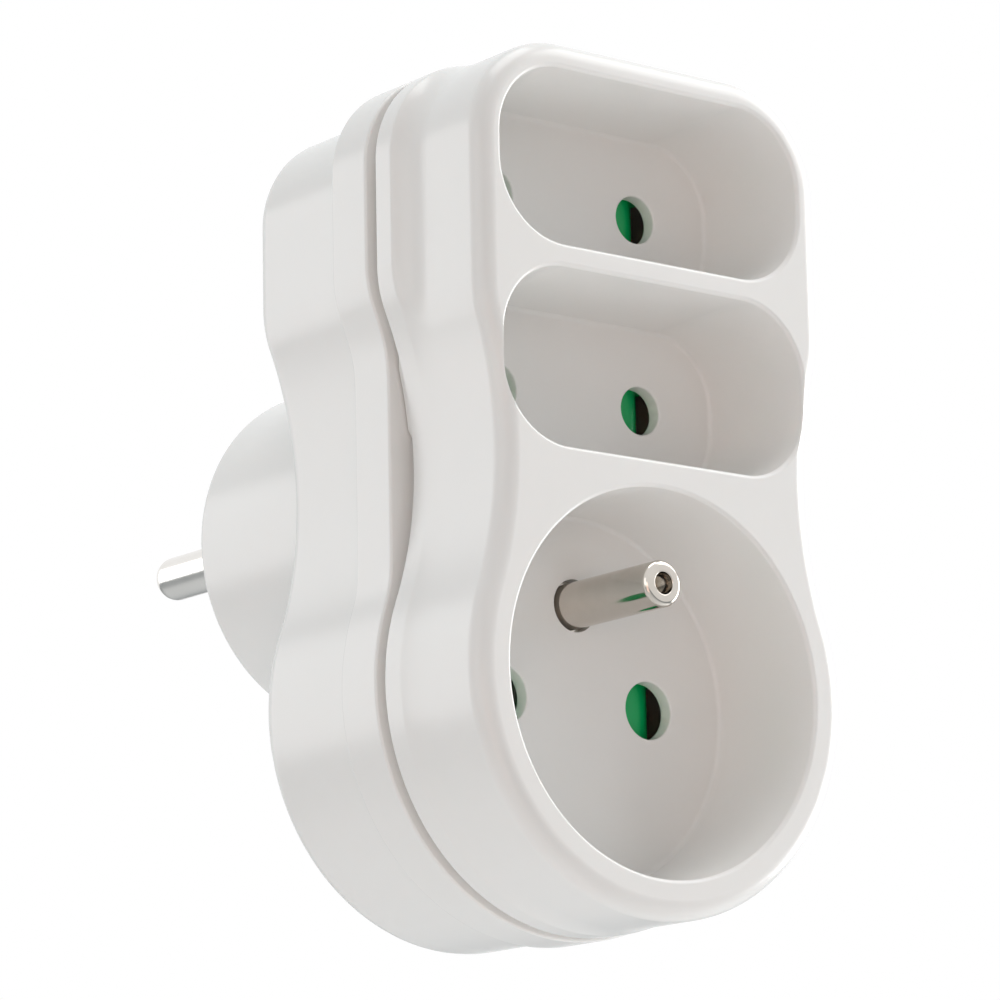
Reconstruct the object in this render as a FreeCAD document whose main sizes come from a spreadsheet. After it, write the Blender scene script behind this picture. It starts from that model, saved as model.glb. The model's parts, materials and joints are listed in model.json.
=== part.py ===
"""A wall-plug adapter with three sockets on its front.

A pear-shaped moulded housing carries two flat two-pole sockets above one round socket with an
earth pin. A round boss on its back ends in the plug face with two round pins. Behind each pair of
entry holes a green shutter slides sideways against a small coil spring.

Frame: the origin is the centre of the plug face, between the two pins. +Y points into the wall,
as the pins do, and the sockets face -Y. +Z is up. Heights in this file are measured from the plug
face towards the front, so a height of 10 lies at Y = -10. Millimetres throughout.
"""
import FreeCAD
import Part
import Sketcher

import math
import os

SIZES = [
    ("lobe_drop", 21.6, "round socket's centre below the plug axis"),
    ("round_recess", 19.7, "radius of the round recess at its rim"),
    ("round_depth", 14.2, "depth of the round recess"),
    ("flat_recess_half", 19.65, "half width of a flat recess at its rim"),
    ("flat_recess_rise", 9.2, "half height of a flat recess at its rim"),
    ("flat_straight", 1.2, "half of the upright straight at a flat recess's end"),
    ("flat_depth", 14.2, "depth of a flat recess"),
    ("recess_wall", 1.2, "wall round each recess"),
    ("recess_floor", 1.6, "floor of each recess"),
    ("recess_round", 0.4, "flare of each recess rim"),
    ("lower_web", 2.8, "between the round recess and the lower flat one"),
    ("upper_web", 2.3, "between the two flat recesses"),
    ("lobe_margin", 4.0, "front cover outside the round recess"),
    ("side_margin", 2.75, "front cover beside a flat recess"),
    ("crown_margin", 2.9, "front cover above the upper flat recess"),
    ("waist_side", 2.4, "waist inside the straight sides, at least"),
    ("waist_lobe", 3.7, "waist inside the round lower end, at least"),
    ("waist_place", 2.3, "waist above the top of the round recess"),
    ("corner_radius", 10.0, "top corners of the outline"),
    ("shoulder_radius", 12.0, "bulge between the waist and the straight sides"),
    ("lip_reach", 1.8, "how far the finger grip stands out at each side"),
    ("lobe_draft", 0.25, "growth of the lobe from the front to the rear edge"),
    ("flange_side", 2.2, "rear shell's flange outside the cover's straight sides"),
    ("flange_lobe", 0.5, "flange outside the cover's round lower end"),
    ("flange_waist", 0.4, "flange outside the cover's waist, under its straight side"),
    ("flange_crown", 0.2, "flange below the cover's flat top"),
    ("bridge_side", 2.0, "straight side of the flange outside the cover's waist"),
    ("bridge_rise", 10.6, "straight side of the flange above the waist"),
    ("shell_side", 1.3, "rear shell outside the cover's straight sides"),
    ("shell_lobe", 0.2, "rear shell inside the cover's round lower end"),
    ("shell_waist", 0.3, "rear shell inside the cover's waist"),
    ("shell_crown", 2.3, "rear shell below the cover's flat top"),
    ("shell_round", 2.2, "rounding of the rear shell's back edge"),
    ("boss_margin", 0.7, "round plug boss inside the shell's waist"),
    ("boss_length", 18.3, "plug face to the back of the shell"),
    ("boss_round", 1.0, "rounding of the plug face's edge"),
    ("shell_depth", 14.9, "back of the shell to the flange"),
    ("flange_depth", 5.8, "flange, along the depth"),
    ("groove_width", 1.0, "dark parting groove between flange and cover"),
    ("rim_depth", 2.8, "straight lip of the cover behind the grip"),
    ("scoop_depth", 3.7, "hollow of the grip, along the depth"),
    ("brow_depth", 8.5, "front edge of the cover to the grip's hollow"),
    ("front_round", 2.0, "rounding of the cover's front edge"),
    ("cover_wall", 1.7, "wall of the front cover"),
    ("lip_wall", 1.4, "wall of the cover's rear lip, outside the tongue"),
    ("face_wall", 2.0, "front plate of the cover"),
    ("shell_wall", 2.0, "side wall of the rear shell"),
    ("back_wall", 1.5, "back wall of the rear shell"),
    ("plug_wall", 2.4, "wall of the plug face"),
    ("boss_wall", 2.2, "side wall of the plug boss"),
    ("tongue_height", 2.4, "tongue of the shell inside the cover"),
    ("tongue_gap", 0.15, "clearance round the tongue"),
    ("pole_pitch", 19.0, "distance between the two poles"),
    ("flat_hole_radius", 2.55, "entry holes of the flat sockets"),
    ("round_hole_radius", 3.0, "entry holes of the round socket"),
    ("earth_rise", 10.0, "earth pin and earth hole above the pole line"),
    ("earth_pin_radius", 2.4, "socket's earth pin"),
    ("earth_pin_reach", 14.1, "earth pin above the recess floor"),
    ("earth_pin_round", 0.6, "rounding of the earth pin's tip"),
    ("earth_hole_radius", 3.1, "earth hole in the plug face"),
    ("sleeve_bore", 2.45, "earth contact sleeve, inside radius"),
    ("sleeve_wall", 0.8, "earth contact sleeve, wall"),
    ("sleeve_length", 13.0, "earth contact sleeve, inside depth"),
    ("pin_radius", 2.4, "plug pins"),
    ("pin_reach", 19.0, "plug pins beyond the plug face"),
    ("pin_nose", 1.9, "rounding of a plug pin's nose"),
    ("pin_guide", 8.0, "length of the moulded guide round a plug pin"),
    ("pin_collar", 3.3, "radius of the collar on a plug pin"),
    ("collar_depth", 1.0, "thickness of every collar"),
    ("shank_radius", 1.8, "slim inner part of a pin"),
    ("tail_radius", 1.3, "riveted tail of a pin"),
    ("pin_land", 0.3, "how much thicker a pin is where the housing holds it"),
    ("fit_gap", 0.05, "clearance of pins and stakes in their holes"),
    ("guide_wall", 1.2, "wall of the guide round the earth contact"),
    ("sheet", 0.8, "thickness of the brass strips"),
    ("busbar_half", 3.0, "half width of a busbar"),
    ("busbar_end", 3.5, "busbar beyond its last clip"),
    ("strap_half", 2.5, "half width of the earth strap"),
    ("strap_foot", 9.0, "front leg of the earth strap"),
    ("strap_bend", 0.6, "inside radius of the earth strap's bends"),
    ("clip_sheet", 0.5, "thickness of a contact clip"),
    ("clip_half", 2.5, "half width of a clip along its pin row"),
    ("clip_base", 3.3, "half width over the legs of a clip"),
    ("clip_neck", 2.1, "half gap between the legs at their neck"),
    ("clip_mouth", 3.1, "half gap between the legs at their mouth"),
    ("clip_neck_rise", 8.2, "neck above the busbar"),
    ("clip_rise", 10.2, "mouth above the busbar"),
    ("shutter_gap", 0.2, "running gap of a shutter on every side"),
    ("shutter_depth", 5.0, "thickness of a shutter"),
    ("shutter_cover", 0.35, "shutter beyond the edge of its entry hole"),
    ("shutter_free", 0.1, "open shutter clear of the pin"),
    ("shutter_bar", 1.5, "width of the bars between the two pads"),
    ("shutter_arm", 1.6, "thickness of the arm that meets the spring"),
    ("shutter_arm_place", 5.0, "face of the arm that meets the spring"),
    ("ramp_depth", 4.2, "deep end of a ramp"),
    ("spring_radius", 1.1, "outside radius of a shutter spring"),
    ("spring_wire", 0.35, "wire of a shutter spring"),
    ("spring_length", 14.0, "shutter spring at rest"),
    ("spring_turns", 5, "turns of a shutter spring"),
    ("carrier_plate", 1.2, "plate and rails of a shutter carrier"),
    ("carrier_left", 14.0, "carrier plate to the left of its socket's centre"),
    ("carrier_right", 13.5, "carrier plate to the right"),
    ("carrier_slot", 0.6, "clearance of the pins in a carrier's square holes"),
    ("stake", 1.6, "square stake that holds a carrier, across its flats"),
    ("stake_head", 0.4, "a stake's melted head, its height and its reach"),
    ("stake_left", 12.2, "stake left of its socket's centre"),
    ("stake_right", 10.5, "stake right of its socket's centre"),
    ("screw_inset", 5.4, "housing screws inside the straight sides"),
    ("screw_radius", 1.2, "shank of a screw"),
    ("screw_head", 2.4, "radius of a screw's head"),
    ("screw_head_depth", 1.8, "height of a screw's head"),
    ("screw_grip", 4.5, "wall that a screw clamps"),
    ("screw_bite", 6.5, "length of a screw in the cover's boss"),
    ("screw_gap", 0.2, "clearance round a screw and its head"),
    ("screw_boss", 2.8, "radius of the cover's screw bosses"),
    ("rear_boss", 3.4, "radius of the rear shell's screw bosses"),
    ("drive_reach", 1.45, "half length of the cross in a screw's head"),
    ("drive_web", 0.35, "half width of the cross"),
    ("drive_depth", 1.1, "depth of the cross"),
    ("boss_meeting", 1.5, "where the bosses meet, below the parting plane"),
]

BACK = "(Sizes.boss_length)"
LEDGE = f"({BACK} + Sizes.shell_depth)"
PARTING = f"({LEDGE} + Sizes.flange_depth)"
COVER_REAR = f"({PARTING} + Sizes.groove_width)"
GRIP = f"({COVER_REAR} + Sizes.rim_depth)"
BROW = f"({GRIP} + Sizes.scoop_depth)"
FRONT = f"({BROW} + Sizes.brow_depth)"
BACK_INSIDE = f"({BACK} + Sizes.back_wall)"
BUSBAR_TOP = f"({BACK_INSIDE} + Sizes.sheet)"
FACE_BACK = f"({FRONT} - Sizes.face_wall)"
BOSS_MEETING = f"({PARTING} - Sizes.boss_meeting)"

HALF = "(Sizes.flat_recess_half + Sizes.side_margin)"
LOBE = "(Sizes.round_recess + Sizes.lobe_margin)"
WAIST = f"min({HALF} - Sizes.waist_side; {LOBE} - Sizes.waist_lobe)"
WAIST_RISE = "(Sizes.round_recess + Sizes.waist_place)"
MIDDLE_RISE = (
    "(Sizes.round_recess - Sizes.lobe_drop + Sizes.lower_web + Sizes.flat_recess_rise)"
)
TOP_RISE = f"({MIDDLE_RISE} + 2 * Sizes.flat_recess_rise + Sizes.upper_web)"
CROWN = f"({TOP_RISE} + Sizes.flat_recess_rise + Sizes.crown_margin)"
SHELL_WAIST = f"({WAIST} - Sizes.shell_waist)"
BOSS = f"({SHELL_WAIST} - Sizes.boss_margin)"
POLE = "(Sizes.pole_pitch / 2)"
SCREW_SIDE = f"({HALF} - Sizes.screw_inset)"
SCREW_RISE = f"(({MIDDLE_RISE} + {TOP_RISE}) / 2)"
SIDES = {"left": -1, "right": 1}
GRIP_STEPS = 3  # sections of the finger grip's hollow
ROUND_STEPS = 3  # straight steps in a rounding
WIRE_SIDES = 3  # flats round a spring's wire

ROUND = {
    "name": "bottom",
    "rise": "(-Sizes.lobe_drop)",
    "depth": "Sizes.round_depth",
    "hole": "Sizes.round_hole_radius",
}
MIDDLE = {
    "name": "middle",
    "rise": MIDDLE_RISE,
    "depth": "Sizes.flat_depth",
    "hole": "Sizes.flat_hole_radius",
}
TOP = dict(MIDDLE, name="top", rise=TOP_RISE)
SOCKETS = [ROUND, MIDDLE, TOP]

doc = FreeCAD.newDocument("SocketAdapter")


def make_sheet():
    """Write the driving dimensions into the document's sheet, one row each."""
    sheet = doc.addObject("Spreadsheet::Sheet", "Sizes")
    for row, (name, size, meaning) in enumerate(SIZES, start=1):
        sheet.set(f"A{row}", meaning)
        sheet.set(f"B{row}", str(size))
        sheet.setAlias(f"B{row}", name)
    doc.recompute()
    return sheet


SHEET = make_sheet()


def number(expression):
    """The present value of an expression, for a sketch's first guess."""
    return float(SHEET.evalExpression(str(expression)))


def floor(socket):
    """Height of a recess floor."""
    return f"({FRONT} - {socket['depth']})"


def floor_back(socket):
    """Height of the back of a recess floor."""
    return f"({floor(socket)} - Sizes.recess_floor)"


def quarter_turn(step):
    """Inset and depth of one corner of a rounding, as shares of its radius, side first."""
    turn = math.radians(90 * step / ROUND_STEPS)
    return round(1 - math.cos(turn), 4), round(1 - math.sin(turn), 4)


# Sketches


def new_body(label):
    """A body whose label is the name of its file."""
    body = doc.addObject("PartDesign::Body", label)
    body.Label = label
    return body


def new_sketch(body, name, height="0", plane="XZ_Plane"):
    """A sketch on an origin plane of its body, moved along the plane's normal by a height."""
    sketch = body.newObject("Sketcher::SketchObject", name)
    origin_plane = next(f for f in body.Origin.OriginFeatures if f.Role == plane)
    sketch.AttachmentSupport = [(origin_plane, "")]
    sketch.MapMode = "FlatFace"
    sketch.setExpression(".AttachmentOffset.Base.z", str(height))
    return sketch


def bind(sketch, kind, *where, to):
    """Add one dimension to a sketch and bind it to an expression."""
    index = sketch.addConstraint(Sketcher.Constraint(kind, *where, number(to)))
    sketch.setExpression(f"Constraints[{index}]", str(to))


def bind_point(sketch, geometry, end, x, z):
    """Place one point of a sketch from its origin."""
    bind(sketch, "DistanceX", -1, 1, geometry, end, to=x)
    bind(sketch, "DistanceY", -1, 1, geometry, end, to=z)


def point(x, z):
    """A sketch point."""
    return FreeCAD.Vector(x, z, 0)


def add_circle(sketch, x, z, radius):
    """A circle placed and sized by expressions."""
    shape = Part.Circle(point(number(x), number(z)), FreeCAD.Vector(0, 0, 1), number(radius))
    index = sketch.addGeometry(shape, False)
    bind_point(sketch, index, 3, x, z)
    bind(sketch, "Radius", index, to=radius)


def add_polygon(sketch, corners):
    """A closed polygon whose corners are pairs of expressions."""
    places = [point(number(x), number(z)) for x, z in corners]
    lines = [
        sketch.addGeometry(Part.LineSegment(start, end), False)
        for start, end in zip(places, places[1:] + places[:1])
    ]
    for line, after in zip(lines, lines[1:] + lines[:1]):
        sketch.addConstraint(Sketcher.Constraint("Coincident", line, 2, after, 1))
    for line, (x, z) in zip(lines, corners):
        bind_point(sketch, line, 1, x, z)


def add_box(sketch, left, right, low, high):
    """A rectangle between four expressions."""
    add_polygon(sketch, [(left, low), (right, low), (right, high), (left, high)])


def add_chain(sketch, pieces):
    """Lines and arcs that run on into each other with a common tangent all the way round."""
    indices = [sketch.addGeometry(piece, False) for piece in pieces]
    ends = list(zip(indices, pieces))
    for (first, a), (second, b) in zip(ends, ends[1:] + ends[:1]):
        leaving, entering = nearest_ends(a, b)
        sketch.addConstraint(Sketcher.Constraint("Tangent", first, leaving, second, entering))
    return indices


def nearest_ends(first, second):
    """Which end of each of two neighbouring pieces is shared: 1 is its start and 2 its end."""
    pairs = {
        (1 + i, 1 + j): p.distanceToPoint(q)
        for i, p in enumerate((first.StartPoint, first.EndPoint))
        for j, q in enumerate((second.StartPoint, second.EndPoint))
    }
    return min(pairs, key=pairs.get)


def arc(x, z, radius, start, end):
    """An arc about (x, z) between two angles in degrees, anticlockwise."""
    circle = Part.Circle(point(x, z), FreeCAD.Vector(0, 0, 1), radius)
    return Part.ArcOfCircle(circle, math.radians(start), math.radians(end))


def add_rounded_box(sketch, half_width, half_height, corner, rise):
    """A rectangle with round corners, centred on the middle line at a rise."""
    w, h, r, z = (number(e) for e in (half_width, half_height, corner, rise))
    x_in = w - r
    low, high = z - h + r, z + h - r
    pieces = [
        arc(x_in, high, r, 0, 90),
        Part.LineSegment(point(x_in, z + h), point(-x_in, z + h)),
        arc(-x_in, high, r, 90, 180),
        Part.LineSegment(point(-w, high), point(-w, low)),
        arc(-x_in, low, r, 180, 270),
        Part.LineSegment(point(-x_in, z - h), point(x_in, z - h)),
        arc(x_in, low, r, 270, 360),
        Part.LineSegment(point(w, low), point(w, high)),
    ]
    indices = add_chain(sketch, pieces)
    places = [(1, 1), (-1, 1), (-1, -1), (1, -1)]
    for index, (side, end) in zip(indices[::2], places):
        x = f"{side} * ({half_width} - ({corner}))"
        bind_point(sketch, index, 3, x, f"{rise} + {end} * ({half_height} - ({corner}))")
        bind(sketch, "Radius", index, to=corner)


def pear(half, lobe, waist, crown, inset="0"):
    """The expressions of a pear outline, moved inwards by an inset all the way round."""
    sag = f"(({waist})^2 + {WAIST_RISE}^2 - ({lobe})^2) / (2 * (({lobe}) - ({waist})))"
    return {
        "half": f"({half} - ({inset}))",
        "lobe": f"({lobe} - ({inset}))",
        "waist": f"({sag} + ({inset}))",
        "waist_half": f"({waist} - ({inset}))",
        "crown": f"({crown} - ({inset}))",
        "corner": f"(Sizes.corner_radius - ({inset}))",
        "shoulder": f"(Sizes.shoulder_radius - ({inset}))",
    }


def cover_pear(inset="0", lip="0", draft="0"):
    """Outline of the front cover, wider by the lip at its sides and by the draft at its lobe."""
    return pear(f"({HALF} + {lip})", f"({LOBE} + {draft})", WAIST, CROWN, inset)


def rim_pear(inset="0"):
    """Outline of the cover's rear edge, at the tip of the grip's lip."""
    return cover_pear(inset, "Sizes.lip_reach", "Sizes.lobe_draft")


def shell_pear(inset="0"):
    """Outline of the rear shell behind its flange."""
    half, lobe = f"({HALF} + Sizes.shell_side)", f"({LOBE} - Sizes.shell_lobe)"
    return pear(half, lobe, SHELL_WAIST, f"({CROWN} - Sizes.shell_crown)", inset)


def flange_pear():
    """Outline of the flange round the rear shell's front."""
    half, lobe = f"({HALF} + Sizes.flange_side)", f"({LOBE} + Sizes.flange_lobe)"
    waist, crown = f"({WAIST} + Sizes.flange_waist)", f"({CROWN} - Sizes.flange_crown)"
    return pear(half, lobe, waist, crown)


def add_pear(sketch, outline):
    """A pear outline: lobe, hollow waist, shoulder, straight side, round corner and flat top."""
    size = {key: number(expression) for key, expression in outline.items()}
    drop = number("Sizes.lobe_drop")
    waist_z = number(WAIST_RISE) - drop
    waist_x = size["waist_half"] + size["waist"]
    shoulder_x = size["half"] - size["shoulder"]
    reach = size["waist"] + size["shoulder"]
    shoulder_z = waist_z + math.sqrt(reach**2 - (waist_x - shoulder_x) ** 2)
    corner_x = size["half"] - size["corner"]
    corner_z = size["crown"] - size["corner"]
    low = math.degrees(math.atan2(waist_z + drop, waist_x))
    high = math.degrees(math.atan2(shoulder_z - waist_z, waist_x - shoulder_x))
    pieces = [
        arc(0, -drop, size["lobe"], 180 - low, 360 + low),
        arc(waist_x, waist_z, size["waist"], 180 - high, 180 + low),
        arc(shoulder_x, shoulder_z, size["shoulder"], -high, 0),
        Part.LineSegment(point(size["half"], shoulder_z), point(size["half"], corner_z)),
        arc(corner_x, corner_z, size["corner"], 0, 90),
        Part.LineSegment(point(corner_x, size["crown"]), point(-corner_x, size["crown"])),
        arc(-corner_x, corner_z, size["corner"], 90, 180),
        Part.LineSegment(point(-size["half"], corner_z), point(-size["half"], shoulder_z)),
        arc(-shoulder_x, shoulder_z, size["shoulder"], 180, 180 + high),
        arc(-waist_x, waist_z, size["waist"], -low, high),
    ]
    lobe, waist_r, shoulder_r, side_r, corner_r, top, corner_l, side_l, shoulder_l, waist_l = (
        add_chain(sketch, pieces)
    )
    bind_point(sketch, lobe, 3, "0", "-Sizes.lobe_drop")
    bind(sketch, "Radius", lobe, to=outline["lobe"])
    bind(sketch, "DistanceY", -1, 1, top, 1, to=outline["crown"])
    sketch.addConstraint(Sketcher.Constraint("Horizontal", top))
    mirrored = [
        (1, waist_r, shoulder_r, side_r, corner_r),
        (-1, waist_l, shoulder_l, side_l, corner_l),
    ]
    for side, waist, shoulder, edge, corner in mirrored:
        bind(sketch, "DistanceY", -1, 1, waist, 3, to=f"{WAIST_RISE} - Sizes.lobe_drop")
        bind(sketch, "Radius", waist, to=outline["waist"])
        bind(sketch, "Radius", shoulder, to=outline["shoulder"])
        bind(sketch, "Radius", corner, to=outline["corner"])
        bind(sketch, "DistanceX", -1, 1, edge, 1, to=f"{side} * {outline['half']}")
        sketch.addConstraint(Sketcher.Constraint("Vertical", edge))


# Features


def pad(body, sketch, length, backwards=False, middle=False):
    """Raise a sketch into a solid, towards the front unless told otherwise."""
    feature = body.newObject("PartDesign::Pad", "Pad")
    feature.Profile = sketch
    feature.setExpression("Length", str(length))
    feature.Reversed = backwards
    feature.Midplane = middle
    return finish_feature(feature, 1)


def pocket(body, sketch, length, forwards=False, middle=False, narrowing="0"):
    """Cut a sketch into the solid, towards the plug face unless told otherwise."""
    feature = body.newObject("PartDesign::Pocket", "Pocket")
    feature.Profile = sketch
    feature.setExpression("Length", str(length))
    feature.setExpression("TaperAngle", f"-atan(({narrowing}) / ({length}))")
    feature.Reversed = forwards
    feature.Midplane = middle
    return finish_feature(feature, -1)


def revolve(body, sketch, axis="V_Axis"):
    """Turn a sketch about one of its own axes."""
    feature = body.newObject("PartDesign::Revolution", "Revolution")
    feature.Profile = sketch
    feature.ReferenceAxis = (sketch, [axis])
    feature.Angle = 360
    return finish_feature(feature, 1)


def loft(body, sections):
    """A solid that runs straight from each sketch to the next."""
    feature = body.newObject("PartDesign::AdditiveLoft", "Loft")
    feature.Profile = sections[0]
    feature.Sections = sections[1:]
    feature.Ruled = True
    return finish_feature(feature, 1)


def round_edges(body, radius, wanted):
    """Round the edges of the body's tip that a test picks."""
    base = body.Tip
    names = [f"Edge{i}" for i, e in enumerate(base.Shape.Edges, start=1) if wanted(e)]
    if not names:
        raise ValueError(f"{body.Label}: no edge to round")
    feature = body.newObject("PartDesign::Fillet", "Fillet")
    feature.Base = (base, names)
    feature.setExpression("Radius", str(radius))
    return finish_feature(feature, 0)


def finish_feature(feature, change):
    """Recompute, and make sure that the solid grew or shrank as it should."""
    body = feature.getParentGeoFeatureGroup()
    before = feature.BaseFeature.Shape.Volume if feature.BaseFeature else 0
    doc.recompute()
    grown = feature.Shape.Volume - before
    if feature.Shape.isNull() or change * grown < 0 or (change and abs(grown) < 1e-6):
        raise ValueError(f"{body.Label}: {feature.Name} changed the volume by {grown:.4f}")
    return feature


def bends(*corners):
    """A test for edges along X through corners given as pairs of height and rise."""
    places = [(-number(height), number(rise)) for height, rise in corners]

    def wanted(edge):
        middle = edge.CenterOfMass
        return any(math.dist((middle.y, middle.z), corner) < 1e-4 for corner in places)

    return wanted


def round_end(body, name, outline, height, radius, towards):
    """Round one end of a prism in straight steps. Towards is 1 at its front and -1 at its back."""
    sections = []
    for step in range(ROUND_STEPS + 1):
        inset, depth = quarter_turn(step)
        level = f"{height} - {towards} * {depth} * {radius}"
        section = new_sketch(body, f"{name}{step}", level)
        add_pear(section, outline(f"({inset} * {radius})"))
        sections.append(section)
    doc.recompute()
    loft(body, sections)


# Housing


def add_recess(sketch, socket, grown="0"):
    """The opening of a socket's recess, grown all the way round."""
    if socket is ROUND:
        add_circle(sketch, "0", socket["rise"], f"Sizes.round_recess + {grown}")
        return
    add_rounded_box(
        sketch,
        f"(Sizes.flat_recess_half + {grown})",
        f"(Sizes.flat_recess_rise + {grown})",
        f"(Sizes.flat_recess_rise - Sizes.flat_straight + {grown})",
        socket["rise"],
    )


def add_poles(sketch, rise, radius):
    """One circle on each pole of a socket or plug."""
    for side in SIDES.values():
        add_circle(sketch, f"{side} * {POLE}", rise, radius)


def add_screws(sketch, radius):
    """One circle on each housing screw."""
    for side in SIDES.values():
        add_circle(sketch, f"{side} * {SCREW_SIDE}", SCREW_RISE, radius)


def grip_reach(remaining, full):
    """Part of a reach left on the grip's hollow, an arc tangent to the front wall."""
    depth, lip = "Sizes.scoop_depth", "Sizes.lip_reach"
    radius = f"(({depth}^2 + {lip}^2) / (2 * {lip}))"
    return f"(({radius} - sqrt({radius}^2 - ({remaining} * {depth})^2)) * {full} / {lip})"


def shape_cover_outside(body):
    """Rim, hollowed grip and rounded front of the cover, one above the other."""
    rim = new_sketch(body, "RimOutline", COVER_REAR)
    add_pear(rim, rim_pear())
    pad(body, rim, "Sizes.rim_depth")
    sections = []
    for step in range(GRIP_STEPS + 1):
        remaining = round(1 - step / GRIP_STEPS, 4)
        section = new_sketch(body, f"Grip{step}", f"{BROW} - {remaining} * Sizes.scoop_depth")
        lip = grip_reach(remaining, "Sizes.lip_reach")
        add_pear(section, cover_pear("0", lip, grip_reach(remaining, "Sizes.lobe_draft")))
        sections.append(section)
    doc.recompute()
    loft(body, sections)
    brow = new_sketch(body, "FrontOutline", BROW)
    add_pear(brow, cover_pear())
    pad(body, brow, "Sizes.brow_depth - Sizes.front_round")
    round_end(body, "FrontRound", cover_pear, FRONT, "Sizes.front_round", 1)


def hollow_cover(body):
    """Empty the cover from behind and leave a seat for the shell's tongue."""
    cavity = new_sketch(body, "Cavity", COVER_REAR)
    add_pear(cavity, cover_pear("Sizes.cover_wall"))
    pocket(body, cavity, f"{FACE_BACK} - {COVER_REAR}", forwards=True)
    seat = new_sketch(body, "TongueSeat", COVER_REAR)
    add_pear(seat, rim_pear("Sizes.lip_wall"))
    pocket(body, seat, "Sizes.rim_depth", forwards=True)


def add_recess_cups(body):
    """Cups behind the front plate, hollowed from the front and drilled for the pins."""
    for socket in SOCKETS:
        cup = new_sketch(body, f"Cup_{socket['name']}", floor_back(socket))
        add_recess(cup, socket, "Sizes.recess_wall")
        pad(body, cup, f"{FACE_BACK} - {floor_back(socket)}")
    for socket in SOCKETS:
        recess = new_sketch(body, f"Recess_{socket['name']}", FRONT)
        add_recess(recess, socket)
        pocket(body, recess, socket["depth"])
        flare = new_sketch(body, f"Flare_{socket['name']}", FRONT)
        add_recess(flare, socket, "Sizes.recess_round")
        pocket(body, flare, "Sizes.recess_round", narrowing="Sizes.recess_round")
        holes = new_sketch(body, f"Entries_{socket['name']}", floor_back(socket))
        add_poles(holes, socket["rise"], socket["hole"])
        pocket(body, holes, "Sizes.recess_floor", forwards=True)


def add_stakes(body):
    """Two stakes behind each recess floor, melted over the shutter carrier's plate."""
    for socket in SOCKETS:
        plate = f"({carrier_bed(socket)} - Sizes.carrier_plate)"
        stakes = new_sketch(body, f"Stakes_{socket['name']}", plate)
        add_stake_squares(stakes, socket, socket["rise"], "0")
        pad(body, stakes, f"{floor_back(socket)} - {plate}")
        heads = new_sketch(body, f"Heads_{socket['name']}", f"{plate} - Sizes.stake_head")
        add_stake_squares(heads, socket, socket["rise"], "Sizes.stake_head")
        pad(body, heads, "Sizes.stake_head")


def make_front_cover():
    """The front cover: outside, inside, three recesses, earth pin hole and screw bosses."""
    body = new_body("front_cover")
    shape_cover_outside(body)
    hollow_cover(body)
    bosses = new_sketch(body, "ScrewBosses", BOSS_MEETING)
    add_screws(bosses, "Sizes.screw_boss")
    pad(body, bosses, f"{FACE_BACK} - {BOSS_MEETING}")
    add_recess_cups(body)
    pilots = new_sketch(body, "ScrewPilots", BOSS_MEETING)
    add_screws(pilots, "Sizes.screw_radius + Sizes.fit_gap")
    pocket(body, pilots, "Sizes.screw_bite + Sizes.screw_head_depth", forwards=True)
    earth = new_sketch(body, "EarthPinHole", floor_back(ROUND))
    earth_radius = "Sizes.earth_pin_radius + Sizes.pin_land + Sizes.fit_gap"
    add_circle(earth, "0", "Sizes.earth_rise - Sizes.lobe_drop", earth_radius)
    pocket(body, earth, "Sizes.recess_floor", forwards=True)
    add_stakes(body)


def shape_shell_outside(body):
    """Shell, flange with its straight bridge at the waist, tongue and plug boss."""
    round_end(body, "BackRound", shell_pear, BACK, "Sizes.shell_round", -1)
    block = new_sketch(body, "ShellOutline", f"{BACK} + Sizes.shell_round")
    add_pear(block, shell_pear())
    pad(body, block, "Sizes.shell_depth - Sizes.shell_round")
    flange = new_sketch(body, "FlangeOutline", LEDGE)
    add_pear(flange, flange_pear())
    pad(body, flange, "Sizes.flange_depth")
    bridge = new_sketch(body, "WaistBridge", LEDGE)
    chord = f"({WAIST} + Sizes.bridge_side)"
    bridge_top = f"{WAIST_RISE} - Sizes.lobe_drop + Sizes.bridge_rise"
    add_box(bridge, f"-{chord}", chord, "-Sizes.lobe_drop", bridge_top)
    pad(body, bridge, "Sizes.flange_depth")
    tongue = new_sketch(body, "TongueOutline", PARTING)
    add_pear(tongue, rim_pear("Sizes.lip_wall + Sizes.tongue_gap"))
    pad(body, tongue, "Sizes.tongue_height")
    boss = new_sketch(body, "PlugBoss", "0", "XY_Plane")
    corners = stepped("0", [(BOSS, f"{BACK} + Sizes.shell_round")])
    corners[1:2] = rounded_corner(BOSS, "0", "Sizes.boss_round", -1)[::-1]
    add_section(boss, corners)
    revolve(body, boss)


def hollow_shell(body):
    """Empty the shell and the boss from the front, and clear the tongue from the recess cups."""
    tongue_top = f"{PARTING} + Sizes.tongue_height"
    cavity = new_sketch(body, "Cavity", tongue_top)
    add_pear(cavity, shell_pear("Sizes.shell_wall"))
    pocket(body, cavity, f"{tongue_top} - {BACK_INSIDE}")
    well = new_sketch(body, "BossCavity", BACK_INSIDE)
    add_circle(well, "0", "0", f"{BOSS} - Sizes.boss_wall")
    pocket(body, well, f"{BACK_INSIDE} - Sizes.plug_wall")
    relief = new_sketch(body, "CupRelief", tongue_top)
    for socket in (MIDDLE, TOP):
        add_recess(relief, socket, "Sizes.recess_wall + Sizes.tongue_gap")
    pocket(body, relief, "Sizes.tongue_height")


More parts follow.
